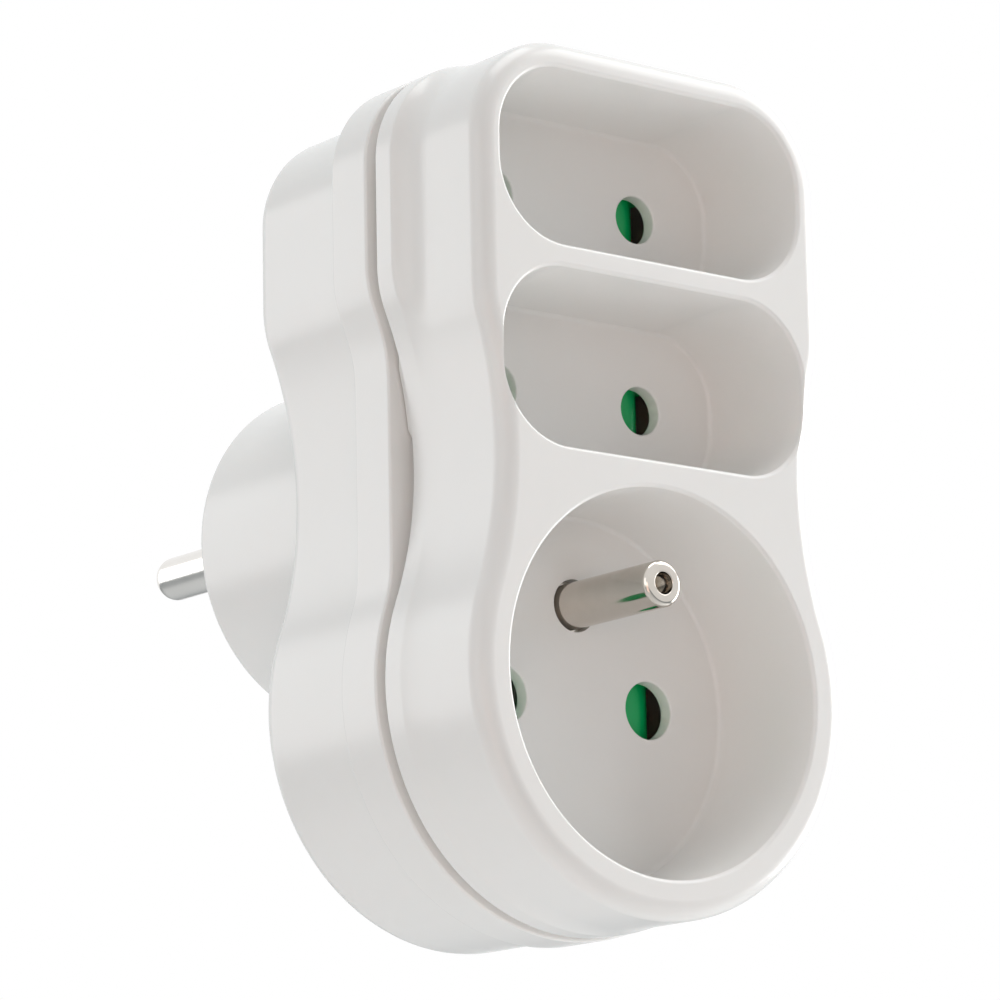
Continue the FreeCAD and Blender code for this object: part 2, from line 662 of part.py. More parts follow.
def add_plug_guides(body):
    """Guides round the pins and the earth contact, with their holes through the plug face."""
    guides = new_sketch(body, "PinGuides", "Sizes.plug_wall")
    add_poles(guides, "0", "Sizes.pin_collar + Sizes.fit_gap")
    pad(body, guides, "Sizes.pin_guide - Sizes.plug_wall")
    bores = new_sketch(body, "PinBores", "0")
    add_poles(bores, "0", "Sizes.pin_radius + Sizes.pin_land + Sizes.fit_gap")
    pocket(body, bores, "Sizes.pin_guide", forwards=True)
    sleeve = "Sizes.sleeve_bore + Sizes.sleeve_wall + Sizes.fit_gap"
    guide = new_sketch(body, "EarthGuide", "Sizes.plug_wall")
    add_circle(guide, "0", "Sizes.earth_rise", f"{sleeve} + Sizes.guide_wall")
    pad(body, guide, "Sizes.sleeve_length - Sizes.plug_wall")
    seat = new_sketch(body, "EarthSeat", "Sizes.plug_wall")
    add_circle(seat, "0", "Sizes.earth_rise", sleeve)
    pocket(body, seat, "Sizes.sleeve_length - Sizes.plug_wall", forwards=True)
    mouth = new_sketch(body, "EarthHole", "0")
    add_circle(mouth, "0", "Sizes.earth_rise", "Sizes.earth_hole_radius")
    pocket(body, mouth, "Sizes.plug_wall", forwards=True)


def add_shell_screw_bosses(body):
    """Bosses that meet the cover's, bored deep from behind so that short screws reach it."""
    bosses = new_sketch(body, "ScrewBosses", BACK_INSIDE)
    add_screws(bosses, "Sizes.rear_boss")
    pad(body, bosses, f"{BOSS_MEETING} - {BACK_INSIDE}")
    wells = new_sketch(body, "ScrewWells", BACK)
    add_screws(wells, "Sizes.screw_head + Sizes.screw_gap")
    pocket(body, wells, f"{BOSS_MEETING} - Sizes.screw_grip - {BACK}", forwards=True)
    holes = new_sketch(body, "ScrewHoles", f"{BOSS_MEETING} - Sizes.screw_grip")
    add_screws(holes, "Sizes.screw_radius + Sizes.screw_gap")
    pocket(body, holes, "Sizes.screw_grip", forwards=True)


def make_rear_shell():
    """The rear shell with its flange, tongue, plug boss and plug face."""
    body = new_body("rear_shell")
    shape_shell_outside(body)
    hollow_shell(body)
    add_plug_guides(body)
    add_shell_screw_bosses(body)


# Turned pieces, each drawn as half a section beside its axis with the height upwards


def add_section(sketch, corners):
    """A closed section whose corners are pairs of distance across and height."""
    add_polygon(sketch, [(across, f"-({height})") for across, height in corners])


def turned(label, corners):
    """A body turned about its own Y axis. Corners are radius and height, from low to high."""
    body = new_body(label)
    profile = new_sketch(body, "Section", "0", "XY_Plane")
    add_section(profile, corners)
    revolve(body, profile)
    return body


def stepped(start, steps):
    """Corners of a solid stepped section: pairs of radius and the height that it runs up to."""
    corners = [("0", start)]
    low = start
    for radius, high in steps:
        corners += [(radius, low), (radius, high)]
        low = high
    return corners + [("0", low)]


def rounded_corner(radius, height, size, towards):
    """Corners that round a turned end, from its side to its flat. Towards is 1 at the front."""
    turns = [quarter_turn(step) for step in range(ROUND_STEPS + 1)]
    return [
        (f"({radius} - {inset} * {size})", f"({height} - {towards} * {depth} * {size})")
        for inset, depth in turns
    ]


def place(body, x, z, height="0"):
    """Bind a body's place to expressions."""
    body.setExpression(".Placement.Base.x", str(x))
    body.setExpression(".Placement.Base.y", f"-({height})")
    body.setExpression(".Placement.Base.z", str(z))


def make_plug_pins():
    """Two plug pins: round nose, collar on the guide, slim shank and a tail in the busbar."""
    collar_top = "Sizes.pin_guide + Sizes.collar_depth"
    steps = [
        ("Sizes.pin_radius", "0"),
        ("(Sizes.pin_radius + Sizes.pin_land)", "Sizes.pin_guide"),
        ("Sizes.pin_collar", collar_top),
        ("Sizes.shank_radius", BACK_INSIDE),
        ("Sizes.tail_radius", BUSBAR_TOP),
    ]
    nose = rounded_corner("Sizes.pin_radius", "-Sizes.pin_reach", "Sizes.pin_nose", -1)
    corners = stepped("-Sizes.pin_reach", steps)
    corners[1:2] = nose[::-1]
    for name, side in SIDES.items():
        body = turned(f"plug_pin_{name}", corners)
        place(body, f"{side} * {POLE}", "0")


EARTH_LEVEL = f"({floor_back(ROUND)} - Sizes.shutter_depth - 2 * Sizes.carrier_plate)"
SLEEVE_TOP = "(Sizes.plug_wall + Sizes.sleeve_length + Sizes.collar_depth)"


def make_socket_earth_pin():
    """Earth pin of the round socket: domed tip, collar behind the floor, tail in the strap."""
    tip = f"({floor(ROUND)} + Sizes.earth_pin_reach)"
    radius = "Sizes.earth_pin_radius"
    steps = [
        ("Sizes.tail_radius", EARTH_LEVEL),
        ("Sizes.shank_radius", f"{floor_back(ROUND)} - Sizes.collar_depth"),
        ("Sizes.pin_collar", floor_back(ROUND)),
        (f"({radius} + Sizes.pin_land)", floor(ROUND)),
        (radius, tip),
    ]
    corners = stepped(f"{EARTH_LEVEL} - Sizes.sheet", steps)
    corners[-2:-1] = rounded_corner(radius, tip, "Sizes.earth_pin_round", 1)
    body = turned("socket_earth_pin", corners)
    place(body, "0", "Sizes.earth_rise - Sizes.lobe_drop")


def make_earth_contact():
    """Sleeve behind the plug face's earth hole, closed at its inner end."""
    outside = "Sizes.sleeve_bore + Sizes.sleeve_wall"
    inner_end = "Sizes.plug_wall + Sizes.sleeve_length"
    corners = [
        ("Sizes.sleeve_bore", "Sizes.plug_wall"),
        (outside, "Sizes.plug_wall"),
        (outside, SLEEVE_TOP),
        ("Sizes.tail_radius", SLEEVE_TOP),
        ("Sizes.tail_radius", f"{SLEEVE_TOP} + Sizes.sheet"),
        ("0", f"{SLEEVE_TOP} + Sizes.sheet"),
        ("0", inner_end),
        ("Sizes.sleeve_bore", inner_end),
    ]
    body = turned("plug_earth_contact", corners)
    place(body, "0", "Sizes.earth_rise")


def make_screws():
    """Both housing screws, driven from behind through the shell into the cover."""
    seat = f"({BOSS_MEETING} - Sizes.screw_grip)"
    steps = [
        ("Sizes.screw_head", seat),
        ("Sizes.screw_radius", f"{BOSS_MEETING} + Sizes.screw_bite"),
    ]
    for name, side in SIDES.items():
        body = turned(f"housing_screw_{name}", stepped(f"{seat} - Sizes.screw_head_depth", steps))
        arm, web = "Sizes.drive_reach", "Sizes.drive_web"
        for cut, across, upwards in (("DriveAcross", arm, web), ("DriveUpright", web, arm)):
            slot = new_sketch(body, cut, f"{seat} - Sizes.screw_head_depth")
            add_box(slot, f"-{across}", across, f"-{upwards}", upwards)
            pocket(body, slot, "Sizes.drive_depth", forwards=True)
        place(body, f"{side} * {SCREW_SIDE}", SCREW_RISE)


# Strips and clips of brass


def make_busbars():
    """A strip on the shell's back wall for each pole, from the round socket to the top one."""
    for name, side in (("line", 1), ("neutral", -1)):
        body = new_body(f"{name}_busbar")
        strip = new_sketch(body, "Strip", BACK_INSIDE)
        low = "-Sizes.lobe_drop - Sizes.busbar_end"
        high = f"{TOP['rise']} + Sizes.busbar_end"
        add_box(strip, "-Sizes.busbar_half", "Sizes.busbar_half", low, high)
        pad(body, strip, "Sizes.sheet")
        rivet = new_sketch(body, "PinTail", BACK_INSIDE)
        add_circle(rivet, "0", "0", "Sizes.tail_radius + Sizes.fit_gap")
        pocket(body, rivet, "Sizes.sheet", forwards=True)
        place(body, f"{side} * {POLE}", "0")


def clip_side(side):
    """One leg of a clip in section, from the inside of its foot round to the outside."""
    skin = "Sizes.clip_sheet"
    base, neck, mouth = "Sizes.clip_base", "Sizes.clip_neck", "Sizes.clip_mouth"
    rise = f"{BUSBAR_TOP} + Sizes.clip_rise"
    neck_rise = f"{BUSBAR_TOP} + Sizes.clip_neck_rise"
    corners = [
        (f"({base} - {skin})", f"{BUSBAR_TOP} + {skin}"),
        (neck, neck_rise),
        (mouth, rise),
        (f"({mouth} + {skin})", rise),
        (f"({neck} + {skin})", neck_rise),
        (base, BUSBAR_TOP),
    ]
    return [(f"{side} * {x}", height) for x, height in corners]


def make_clips():
    """Six contact clips with two sprung legs each, standing on the busbars."""
    for name, side in (("line", 1), ("neutral", -1)):
        for socket in SOCKETS:
            body = new_body(f"{name}_clip_{socket['name']}")
            section = new_sketch(body, "Section", "0", "XY_Plane")
            add_section(section, clip_side(1) + clip_side(-1)[::-1])
            pad(body, section, "2 * Sizes.clip_half", middle=True)
            place(body, f"{side} * {POLE}", socket["rise"])


def make_earth_strap():
    """Bent strip from the socket's earth pin down to the plug's earth contact."""
    body = new_body("earth_strap")
    section = new_sketch(body, "Section", "0", "YZ_Plane")
    low_end = "(Sizes.earth_rise - Sizes.lobe_drop - Sizes.busbar_half)"
    high_end = "(Sizes.earth_rise + Sizes.busbar_half)"
    bend = f"({low_end} + Sizes.strap_foot)"
    behind = f"({bend} - Sizes.sheet)"
    front, front_back = EARTH_LEVEL, f"({EARTH_LEVEL} - Sizes.sheet)"
    rear, rear_back = f"({SLEEVE_TOP} + Sizes.sheet)", SLEEVE_TOP
    corners = [
        (front, low_end),
        (front, bend),
        (rear, bend),
        (rear, high_end),
        (rear_back, high_end),
        (rear_back, behind),
        (front_back, behind),
        (front_back, low_end),
    ]
    add_polygon(section, [(f"-({height})", z) for height, z in corners])
    pad(body, section, "2 * Sizes.strap_half", middle=True)
    round_edges(body, "Sizes.strap_bend", bends((rear, bend), (front_back, behind)))
    outside = "Sizes.strap_bend + Sizes.sheet"
    round_edges(body, outside, bends((front, bend), (rear_back, behind)))
    pin = new_sketch(body, "PinTail", front_back)
    add_circle(pin, "0", "Sizes.earth_rise - Sizes.lobe_drop", "Sizes.tail_radius + Sizes.fit_gap")
    pocket(body, pin, "Sizes.sheet", forwards=True)
    contact = new_sketch(body, "ContactTail", rear_back)
    add_circle(contact, "0", "Sizes.earth_rise", "Sizes.tail_radius + Sizes.fit_gap")
    pocket(body, contact, "Sizes.sheet", forwards=True)


# Shutters


def pad_reach(socket):
    """Half width of a shutter pad: its entry hole and a margin."""
    return f"({socket['hole']} + Sizes.shutter_cover)"


def bar_out(socket):
    """Outer edge of a shutter's bars from its middle line."""
    return f"({pad_reach(socket)} + Sizes.shutter_bar - Sizes.shutter_cover)"


def travel(socket):
    """Distance that a shutter slides to let the pins pass."""
    return f"({pad_reach(socket)} + Sizes.pin_radius + Sizes.shutter_free)"


def carrier_bed(socket):
    """Height of a carrier's bed, on which its shutter slides."""
    return f"({floor_back(socket)} - Sizes.shutter_depth - 2 * Sizes.shutter_gap)"


def rail_in(socket):
    """Inner face of the upper rail from a shutter's middle line."""
    return f"({bar_out(socket)} + Sizes.shutter_gap)"


def channel(socket):
    """Inner face of the lower rail, with the spring's lane inside it."""
    return f"({rail_in(socket)} + 2 * Sizes.spring_radius + 2 * Sizes.shutter_gap)"


def add_stake_squares(sketch, socket, rise, grown):
    """One square in the spring's lane on each side, grown all the way round."""
    middle = f"({rise} - ({rail_in(socket)} + {channel(socket)}) / 2)"
    half = f"(Sizes.stake / 2 + {grown})"
    for x in ("-Sizes.stake_left", "Sizes.stake_right"):
        add_box(sketch, f"{x} - {half}", f"{x} + {half}", f"{middle} - {half}", f"{middle} + {half}")


def make_shutter(socket):
    """A slider with two ramped pads, a window beside the left pad and an arm for its spring."""
    body = new_body(f"shutter_{socket['name']}")
    reach, outer = pad_reach(socket), bar_out(socket)
    top = f"({floor_back(socket)} - Sizes.shutter_gap)"
    low = f"({top} - Sizes.shutter_depth)"
    pads = new_sketch(body, "Pads", low)
    add_box(pads, f"-{POLE} - {reach}", f"{POLE} + {reach}", f"-{reach}", reach)
    pad(body, pads, "Sizes.shutter_depth")
    bars = new_sketch(body, "Bars", low)
    add_box(bars, f"-{POLE}", f"{POLE} + {reach}", f"-{outer}", outer)
    pad(body, bars, "Sizes.shutter_depth")
    arm = new_sketch(body, "SpringArm", low)
    arm_end = "Sizes.shutter_arm_place + Sizes.shutter_arm"
    arm_low = f"-{outer} - 2 * Sizes.spring_radius - Sizes.shutter_gap"
    add_box(arm, "Sizes.shutter_arm_place", arm_end, arm_low, f"-{outer} + Sizes.shutter_gap")
    pad(body, arm, "Sizes.shutter_depth")
    window = new_sketch(body, "PinWindow", top)
    window_left = f"-{POLE} + {reach}"
    window_right = f"{window_left} + {travel(socket)}"
    window_rise = f"({reach} - Sizes.shutter_gap)"
    add_box(window, window_left, window_right, f"-{window_rise}", window_rise)
    pocket(body, window, "Sizes.shutter_depth")
    add_ramps(body, socket, top, window_rise)
    place(body, "0", socket["rise"])


def add_ramps(body, socket, top, rise):
    """Slope both pads down towards +X, so that entering pins push the shutter towards -X."""
    reach = pad_reach(socket)
    for name, side in SIDES.items():
        ramp = new_sketch(body, f"Ramp_{name}", "0", "XY_Plane")
        centre = f"{side} * {POLE}"
        start, end = f"{centre} - {reach} + Sizes.shutter_cover", f"{centre} + {reach}"
        corners = [(start, top), (end, top), (end, f"({top} - Sizes.ramp_depth)")]
        add_polygon(ramp, [(x, f"-({height})") for x, height in corners])
        pocket(body, ramp, f"2 * {rise}", middle=True)


def make_carrier(socket):
    """Tray staked behind the recess floor, which guides a shutter between its rails."""
    body = new_body(f"shutter_carrier_{socket['name']}")
    bed, wall, gap = carrier_bed(socket), "Sizes.carrier_plate", "Sizes.shutter_gap"
    rail, lane = rail_in(socket), channel(socket)
    high, low = f"({rail} + {wall})", f"-({lane} + {wall})"
    height = f"{floor_back(socket)} - {bed}"
    plate = new_sketch(body, "Plate", f"{bed} - {wall}")
    add_box(plate, "-Sizes.carrier_left", "Sizes.carrier_right", low, high)
    pad(body, plate, wall)
    rails = new_sketch(body, "Rails", bed)
    add_box(rails, "-Sizes.carrier_left", "Sizes.carrier_right", rail, high)
    add_box(rails, "-Sizes.carrier_left", "Sizes.carrier_right", low, f"-{lane}")
    pad(body, rails, height)
    post = new_sketch(body, "SpringPost", bed)
    stop = "(Sizes.shutter_arm_place - Sizes.spring_length)"
    add_box(post, f"{stop} - {wall}", stop, f"-{lane} - {gap}", f"-{rail}")
    pad(body, post, height)
    holes = new_sketch(body, "PinAndStakeHoles", f"{bed} - {wall}")
    half = "(Sizes.pin_radius + Sizes.carrier_slot)"
    for side in SIDES.values():
        pole = f"{side} * {POLE}"
        add_box(holes, f"{pole} - {half}", f"{pole} + {half}", f"-{half}", half)
    add_stake_squares(holes, socket, "0", "Sizes.fit_gap")
    pocket(body, holes, wall, forwards=True)
    place(body, "0", socket["rise"])


def make_spring(socket):
    """Coil spring along X between the carrier's post and the shutter's arm, its wire faceted."""
    body = new_body(f"shutter_spring_{socket['name']}")
    wire = new_sketch(body, "Wire", "0", "XY_Plane")
    half = "Sizes.spring_wire / 2"
    coil = f"(Sizes.spring_radius - {half})"
    turns = [math.pi + 2 * math.pi * side / WIRE_SIDES for side in range(WIRE_SIDES)]
    flats = [(round(math.cos(turn), 4), round(math.sin(turn), 4)) for turn in turns]
    add_polygon(wire, [(f"{half} * (1 + {x})", f"{coil} + {half} * {z}") for x, z in flats])
    feature = body.newObject("PartDesign::AdditiveHelix", "Coil")
    feature.Profile = wire
    feature.ReferenceAxis = (wire, ["H_Axis"])
    feature.Mode = "height-turns-angle"
    feature.setExpression("Height", "Sizes.spring_length - Sizes.spring_wire")
    feature.setExpression("Turns", "Sizes.spring_turns")
    finish_feature(feature, 1)
    outer = bar_out(socket)
    centre_z = f"{socket['rise']} - {outer} - 2 * Sizes.shutter_gap - Sizes.spring_radius"
    height = f"{floor_back(socket)} - Sizes.shutter_gap - Sizes.shutter_depth / 2"
    place(body, "Sizes.shutter_arm_place - Sizes.spring_length", centre_z, height)


def check_and_write():
    """Refuse a failed object or shape, then write one file for each body."""
    doc.recompute()
    for item in doc.Objects:
        if {"Invalid", "Error"} & set(item.State):
            raise ValueError(f"{item.Label}: {item.State}")
    os.makedirs("parts", exist_ok=True)
    bodies = [item for item in doc.Objects if item.TypeId == "PartDesign::Body"]
    for body in bodies:
        if body.Shape.isNull() or not body.Shape.isValid() or len(body.Shape.Solids) != 1:
            raise ValueError(f"{body.Label}: {len(body.Shape.Solids)} solids")
    for body in bodies:
        body.Shape.exportStep(f"parts/{body.Label}.step")
        print(f"{body.Label}: {body.Shape.Volume:.1f} mm3")


make_front_cover()
make_rear_shell()
make_plug_pins()
make_socket_earth_pin()
make_earth_contact()
make_screws()
make_busbars()
make_clips()
make_earth_strap()
for each_socket in SOCKETS:
    make_shutter(each_socket)
    make_carrier(each_socket)
    make_spring(each_socket)
check_and_write()
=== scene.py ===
"""Looks of a wall-plug adapter with two flat sockets above one round socket.

The glossy white housing is rebuilt with true roundings, the metal pins and the coil springs are
turned and wound finely, and every remaining part gets its own moulded, plated or stamped finish.
Lengths in the classes are millimetres, and heights run from the plug face towards the front.
"""

import json
import logging
import math
from dataclasses import dataclass, field, replace
from enum import Enum
from typing import Callable, Iterable, Sequence

import bmesh
import bpy
import numpy as np
from mathutils import Matrix, Vector

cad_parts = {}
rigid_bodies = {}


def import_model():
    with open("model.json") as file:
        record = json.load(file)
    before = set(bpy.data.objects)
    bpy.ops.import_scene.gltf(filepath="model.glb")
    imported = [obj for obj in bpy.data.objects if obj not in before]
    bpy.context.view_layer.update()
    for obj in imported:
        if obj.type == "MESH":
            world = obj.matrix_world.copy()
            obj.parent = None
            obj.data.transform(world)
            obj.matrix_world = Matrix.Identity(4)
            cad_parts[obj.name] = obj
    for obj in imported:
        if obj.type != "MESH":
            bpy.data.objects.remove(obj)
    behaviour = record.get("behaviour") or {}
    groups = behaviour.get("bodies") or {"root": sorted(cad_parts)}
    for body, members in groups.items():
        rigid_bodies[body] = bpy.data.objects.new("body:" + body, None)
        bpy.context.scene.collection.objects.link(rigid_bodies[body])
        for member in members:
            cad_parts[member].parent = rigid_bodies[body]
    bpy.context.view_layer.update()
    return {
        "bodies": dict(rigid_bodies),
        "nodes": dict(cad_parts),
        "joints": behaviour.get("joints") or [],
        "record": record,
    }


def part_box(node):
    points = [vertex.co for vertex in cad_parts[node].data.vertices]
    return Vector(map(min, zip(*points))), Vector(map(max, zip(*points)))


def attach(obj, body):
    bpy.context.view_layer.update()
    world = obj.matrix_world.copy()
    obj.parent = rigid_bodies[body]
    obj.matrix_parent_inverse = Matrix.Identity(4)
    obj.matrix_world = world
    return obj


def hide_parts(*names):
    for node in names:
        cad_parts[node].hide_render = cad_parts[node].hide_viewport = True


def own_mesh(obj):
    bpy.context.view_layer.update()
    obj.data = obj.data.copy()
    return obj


LOG = logging.getLogger("adapter")
Color = tuple[float, float, float]
MM = 0.001
# Half the distance of the poles, the earth's rise above them and the bore for a pin's land
POLE = 9.5
EARTH_RISE = 10.0
LAND_BORE = 2.75
# How far a joined solid runs into the next one, and how far a cutter runs past a surface
OVERLAP = 0.5
PAST = 1.0
# Length below which an outline has no straight side
TINY = 1e-6
# Noise values that a mask's full range is taken from
NOISE_RANGE = (0.2, 0.8)


class Side(Enum):
    """Left or right of the middle line, seen from the front."""

    LEFT = -1
    RIGHT = 1


class Place(Enum):
    """The three sockets, with how far each centre lies above the plug axis."""

    BOTTOM = -21.6
    MIDDLE = 10.1
    TOP = 30.8

    @property
    def word(self) -> str:
        """Name of the socket as the parts use it."""
        return self.name.lower()


class Operation(Enum):
    """How one solid is combined with others."""

    CUT = "DIFFERENCE"
    JOIN = "UNION"
    KEEP = "INTERSECT"


# Curves and grids


def arc(cx: float, cz: float, radius: float, start: float, end: float, count: int) -> np.ndarray:
    """Points on a circle about (cx, cz): centre plus radius times (cos, sin) of even angles.

    Args:
        cx: Centre, across.
        cz: Centre, upwards.
        radius: Radius.
        start: First angle in degrees, included.
        end: Last angle in degrees, left out.
        count: Number of points.

    Returns:
        Array of shape (count, 2).
    """
    angle = np.radians(np.linspace(start, end, count, endpoint=False))
    return np.stack([cx + radius * np.cos(angle), cz + radius * np.sin(angle)], axis=1)


def run(start: Sequence[float], end: Sequence[float], count: int) -> np.ndarray:
    """Even points along a straight line: start times (1 - t) plus end times t.

    Args:
        start: First point, included.
        end: Last point, left out.
        count: Number of points.

    Returns:
        Array of shape (count, 2).
    """
    share = np.linspace(0, 1, count, endpoint=False)[:, None]
    return np.asarray(start) * (1 - share) + np.asarray(end) * share


@dataclass(frozen=True)
class PearOutline:
    """Housing outline: lobe, hollow waist, shoulder, straight side, corner and flat top."""

    half: float
    lobe: float
    waist: float
    crown: float
    corner: float = 11.2
    shoulder: float = 12.0
    drop: float = 21.6
    rise: float = 22.0

    def inset(self, depth: float) -> "PearOutline":
        """The outline moved inwards by a depth all the way round.

        Args:
            depth: How far inwards, or outwards where it is negative.

        Returns:
            The new outline.
        """
        return replace(
            self,
            half=self.half - depth,
            lobe=self.lobe - depth,
            waist=self.waist - depth,
            crown=self.crown - depth,
            corner=self.corner - depth,
            shoulder=self.shoulder - depth,
        )

    def points(self) -> np.ndarray:
        """Closed outline, anticlockwise, with the same number of points for every size.

        Each arc is tangent to the next. The waist's radius follows from its half width, and the
        shoulder's height from the distance between the two arcs' centres.

        Returns:
            Array of shape (n, 2) of across and upward places.
        """
        hollow = (self.waist**2 + self.rise**2 - self.lobe**2) / (2 * (self.lobe - self.waist))
        waist_x = self.waist + hollow
        waist_z = self.rise - self.drop
        shoulder_x = self.half - self.shoulder
        reach = hollow + self.shoulder
        shoulder_z = waist_z + math.sqrt(reach**2 - (waist_x - shoulder_x) ** 2)
        corner_x = self.half - self.corner
        corner_z = self.crown - self.corner
        low = math.degrees(math.atan2(self.rise, waist_x))
        high = math.degrees(math.atan2(shoulder_z - waist_z, waist_x - shoulder_x))
        right = [
            arc(0, -self.drop, self.lobe, -90, low, 64),
            arc(waist_x, waist_z, hollow, 180 + low, 180 - high, 48),
            arc(shoulder_x, shoulder_z, self.shoulder, -high, 0, 24),
            run((self.half, shoulder_z), (self.half, corner_z), 16),
            arc(corner_x, corner_z, self.corner, 0, 90, 32),
            run((corner_x, self.crown), (0, self.crown), 8),
        ]
        side = np.concatenate(right + [np.array([[0, self.crown]])])
        other = side[1:-1][::-1] * np.array([-1, 1])
        return np.concatenate([side, other])


@dataclass(frozen=True)
class BridgedOutline(PearOutline):
    """The pear with a straight side across its waist, joined on softly."""

    chord: float = 22.0
    blend: float = 0.4
    span: float = 16.0

    def inset(self, depth: float) -> "BridgedOutline":
        """The outline and its straight side moved inwards by a depth."""
        return replace(super().inset(depth), chord=self.chord - depth)

    def points(self) -> np.ndarray:
        """The pear's points, moved outwards to the straight side within the span of the waist.

        The soft maximum of a distance a and the chord b is (a + b + sqrt((a - b)^2 + blend^2)) / 2.

        Returns:
            Array of shape (n, 2) of across and upward places.
        """
        flat = super().points()
        across = np.abs(flat[:, 0])
        soft = (across + self.chord + np.sqrt((across - self.chord) ** 2 + self.blend**2)) / 2
        inside = np.abs(flat[:, 1]) < self.span
        flat[:, 0] = np.where(inside, np.sign(flat[:, 0]) * soft, flat[:, 0])
        return flat


@dataclass(frozen=True)
class RoundedBox:
    """A rectangle with round corners on the middle line, or a circle where all radii agree."""

    half: float
    rise: float
    corner: float
    centre_z: float
    centre_x: float = 0.0
    steps: int = 24

    def inset(self, depth: float) -> "RoundedBox":
        """The outline moved inwards by a depth all the way round.

        Args:
            depth: How far inwards, or outwards where it is negative.

        Returns:
            The new outline.
        """
        return replace(
            self, half=self.half - depth, rise=self.rise - depth, corner=self.corner - depth
        )

    def points(self) -> np.ndarray:
        """Four corner arcs, anticlockwise, joined by their straight sides.

        Returns:
            Array of shape (n, 2) of across and upward places.
        """
        x, z = self.half - self.corner, self.rise - self.corner
        quarters = zip(((x, z), (-x, z), (-x, -z), (x, -z)), (0, 90, 180, 270))
        corners = [
            arc(cx, cz, self.corner, start, start + 90 * (1 + 1 / self.steps), self.steps + 1)
            for (cx, cz), start in quarters
        ]
        if x < TINY and z < TINY:
            corners = [corner[:-1] for corner in corners]
        return np.concatenate(corners) + np.array([self.centre_x, self.centre_z])


def circle(x: float, z: float, radius: float, steps: int = 16) -> RoundedBox:
    """A circle as an outline, with four times the steps as points."""
    return RoundedBox(radius, radius, radius, z, x, steps)


Outline = PearOutline | RoundedBox


def quarter(radius: float, steps: int = 6) -> np.ndarray:
    """A convex rounding: pairs of inset and depth along a quarter circle, from flat to upright.

    Args:
        radius: Radius of the rounding.
        steps: Number of short straight pieces.

    Returns:
        Array of shape (steps + 1, 2). Inset falls from radius to 0 as depth grows to radius.
    """
    angle = np.linspace(0, math.pi / 2, steps + 1)
    return radius * np.stack([1 - np.sin(angle), 1 - np.cos(angle)], axis=1)


def ring(outline: Outline, height: float) -> np.ndarray:
    """An outline at a height above the plug face, in the frame.

    Args:
        outline: The outline, across and upwards.
        height: Height, which is the frame's -Y.

    Returns:
        Array of shape (n, 3) in millimetres.
    """
    flat = outline.points()
    return np.stack([flat[:, 0], np.full(len(flat), -height), flat[:, 1]], axis=1)


def prism_rings(
    outline: Outline, low: float, high: float, low_round: float = 0, high_round: float = 0
) -> np.ndarray:
    """Rings of a straight solid with rounded ends.

    Args:
        outline: Section of the solid.
        low: Height of its rear end.
        high: Height of its front end.
        low_round: Rounding of the rear edge.
        high_round: Rounding of the front edge.

    Returns:
        Array of shape (rings, points, 3), from the rear to the front.
    """
    rings = []
    if low_round:
        rings += [ring(outline.inset(i), low + d) for i, d in quarter(low_round)]
    else:
        rings.append(ring(outline, low))
    if high_round:
        rings += [ring(outline.inset(i), high - d) for i, d in quarter(high_round)[::-1]]
    else:
        rings.append(ring(outline, high))
    return np.stack(rings)


def grid_faces(rows: int, columns: int, wrap_rows: bool = False) -> np.ndarray:
    """Quads of a grid whose columns close on themselves.

    Args:
        rows: Number of rings.
        columns: Points in each ring.
        wrap_rows: Join the last ring to the first.

    Returns:
        Array of shape (n, 4) of vertex numbers.
    """
    row = np.arange(rows if wrap_rows else rows - 1)[:, None]
    column = np.arange(columns)[None, :]
    after_row = (row + 1) % rows
    after_column = (column + 1) % columns
    corners = [
        row * columns + column,
        row * columns + after_column,
        after_row * columns + after_column,
        after_row * columns + column,
    ]
    return np.stack(np.broadcast_arrays(*corners), axis=-1).reshape(-1, 4)


def new_mesh(name: str, points: np.ndarray, faces: Iterable[Sequence[int]]) -> bpy.types.Object:
    """A mesh object from millimetre points, with the faces of a closed form turned outwards.

    Args:
        name: Name of the piece.
        points: Array of shape (n, 3).
        faces: Vertex numbers of each face.

    Returns:
        The object, linked to the scene, at the origin.
    """
    mesh = bpy.data.meshes.new(name)
    mesh.from_pydata((points.reshape(-1, 3) * MM).tolist(), [], [list(map(int, f)) for f in faces])
    mesh.update()
    made = bpy.data.objects.new(name, mesh)
    bpy.context.scene.collection.objects.link(made)
    turn_outwards(mesh)
    return made


def turn_outwards(mesh: bpy.types.Mesh) -> None:
    """Recalculate a closed mesh's normals so that every face points out of the solid.

    Args:
        mesh: The mesh, changed in place.
    """
    work = bmesh.new()
    work.from_mesh(mesh)
    bmesh.ops.recalc_face_normals(work, faces=work.faces)
    work.to_mesh(mesh)
    work.free()


def skin(name: str, rings: np.ndarray) -> bpy.types.Object:
    """A closed solid through a stack of rings, with a flat face over each end ring.

    Args:
        name: Name of the piece.
        rings: Array of shape (rings, points, 3).

    Returns:
        The closed object.
    """
    rows, columns = rings.shape[:2]
    caps = [np.arange(columns)[::-1], np.arange(columns) + (rows - 1) * columns]
    return new_mesh(name, rings, [*grid_faces(rows, columns), *caps])


def turned(name: str, profile: np.ndarray, x: float, z: float, steps: int = 72) -> bpy.types.Object:
    """A turned solid: the profile of (radius, height) swept round an axis along the depth.

    Args:
        name: Name of the piece.
        profile: Array of shape (n, 2), its first and last radius not zero.
        x: Axis, across.
        z: Axis, upwards.
        steps: Points round the axis.

    Returns:
        The closed object.
    """
    angle = np.linspace(0, 2 * math.pi, steps, endpoint=False)
    radius, height = profile[:, :1], profile[:, 1:]
    across, upwards = x + radius * np.cos(angle), z + radius * np.sin(angle)
    return skin(name, np.stack(np.broadcast_arrays(across, -height, upwards), axis=-1))


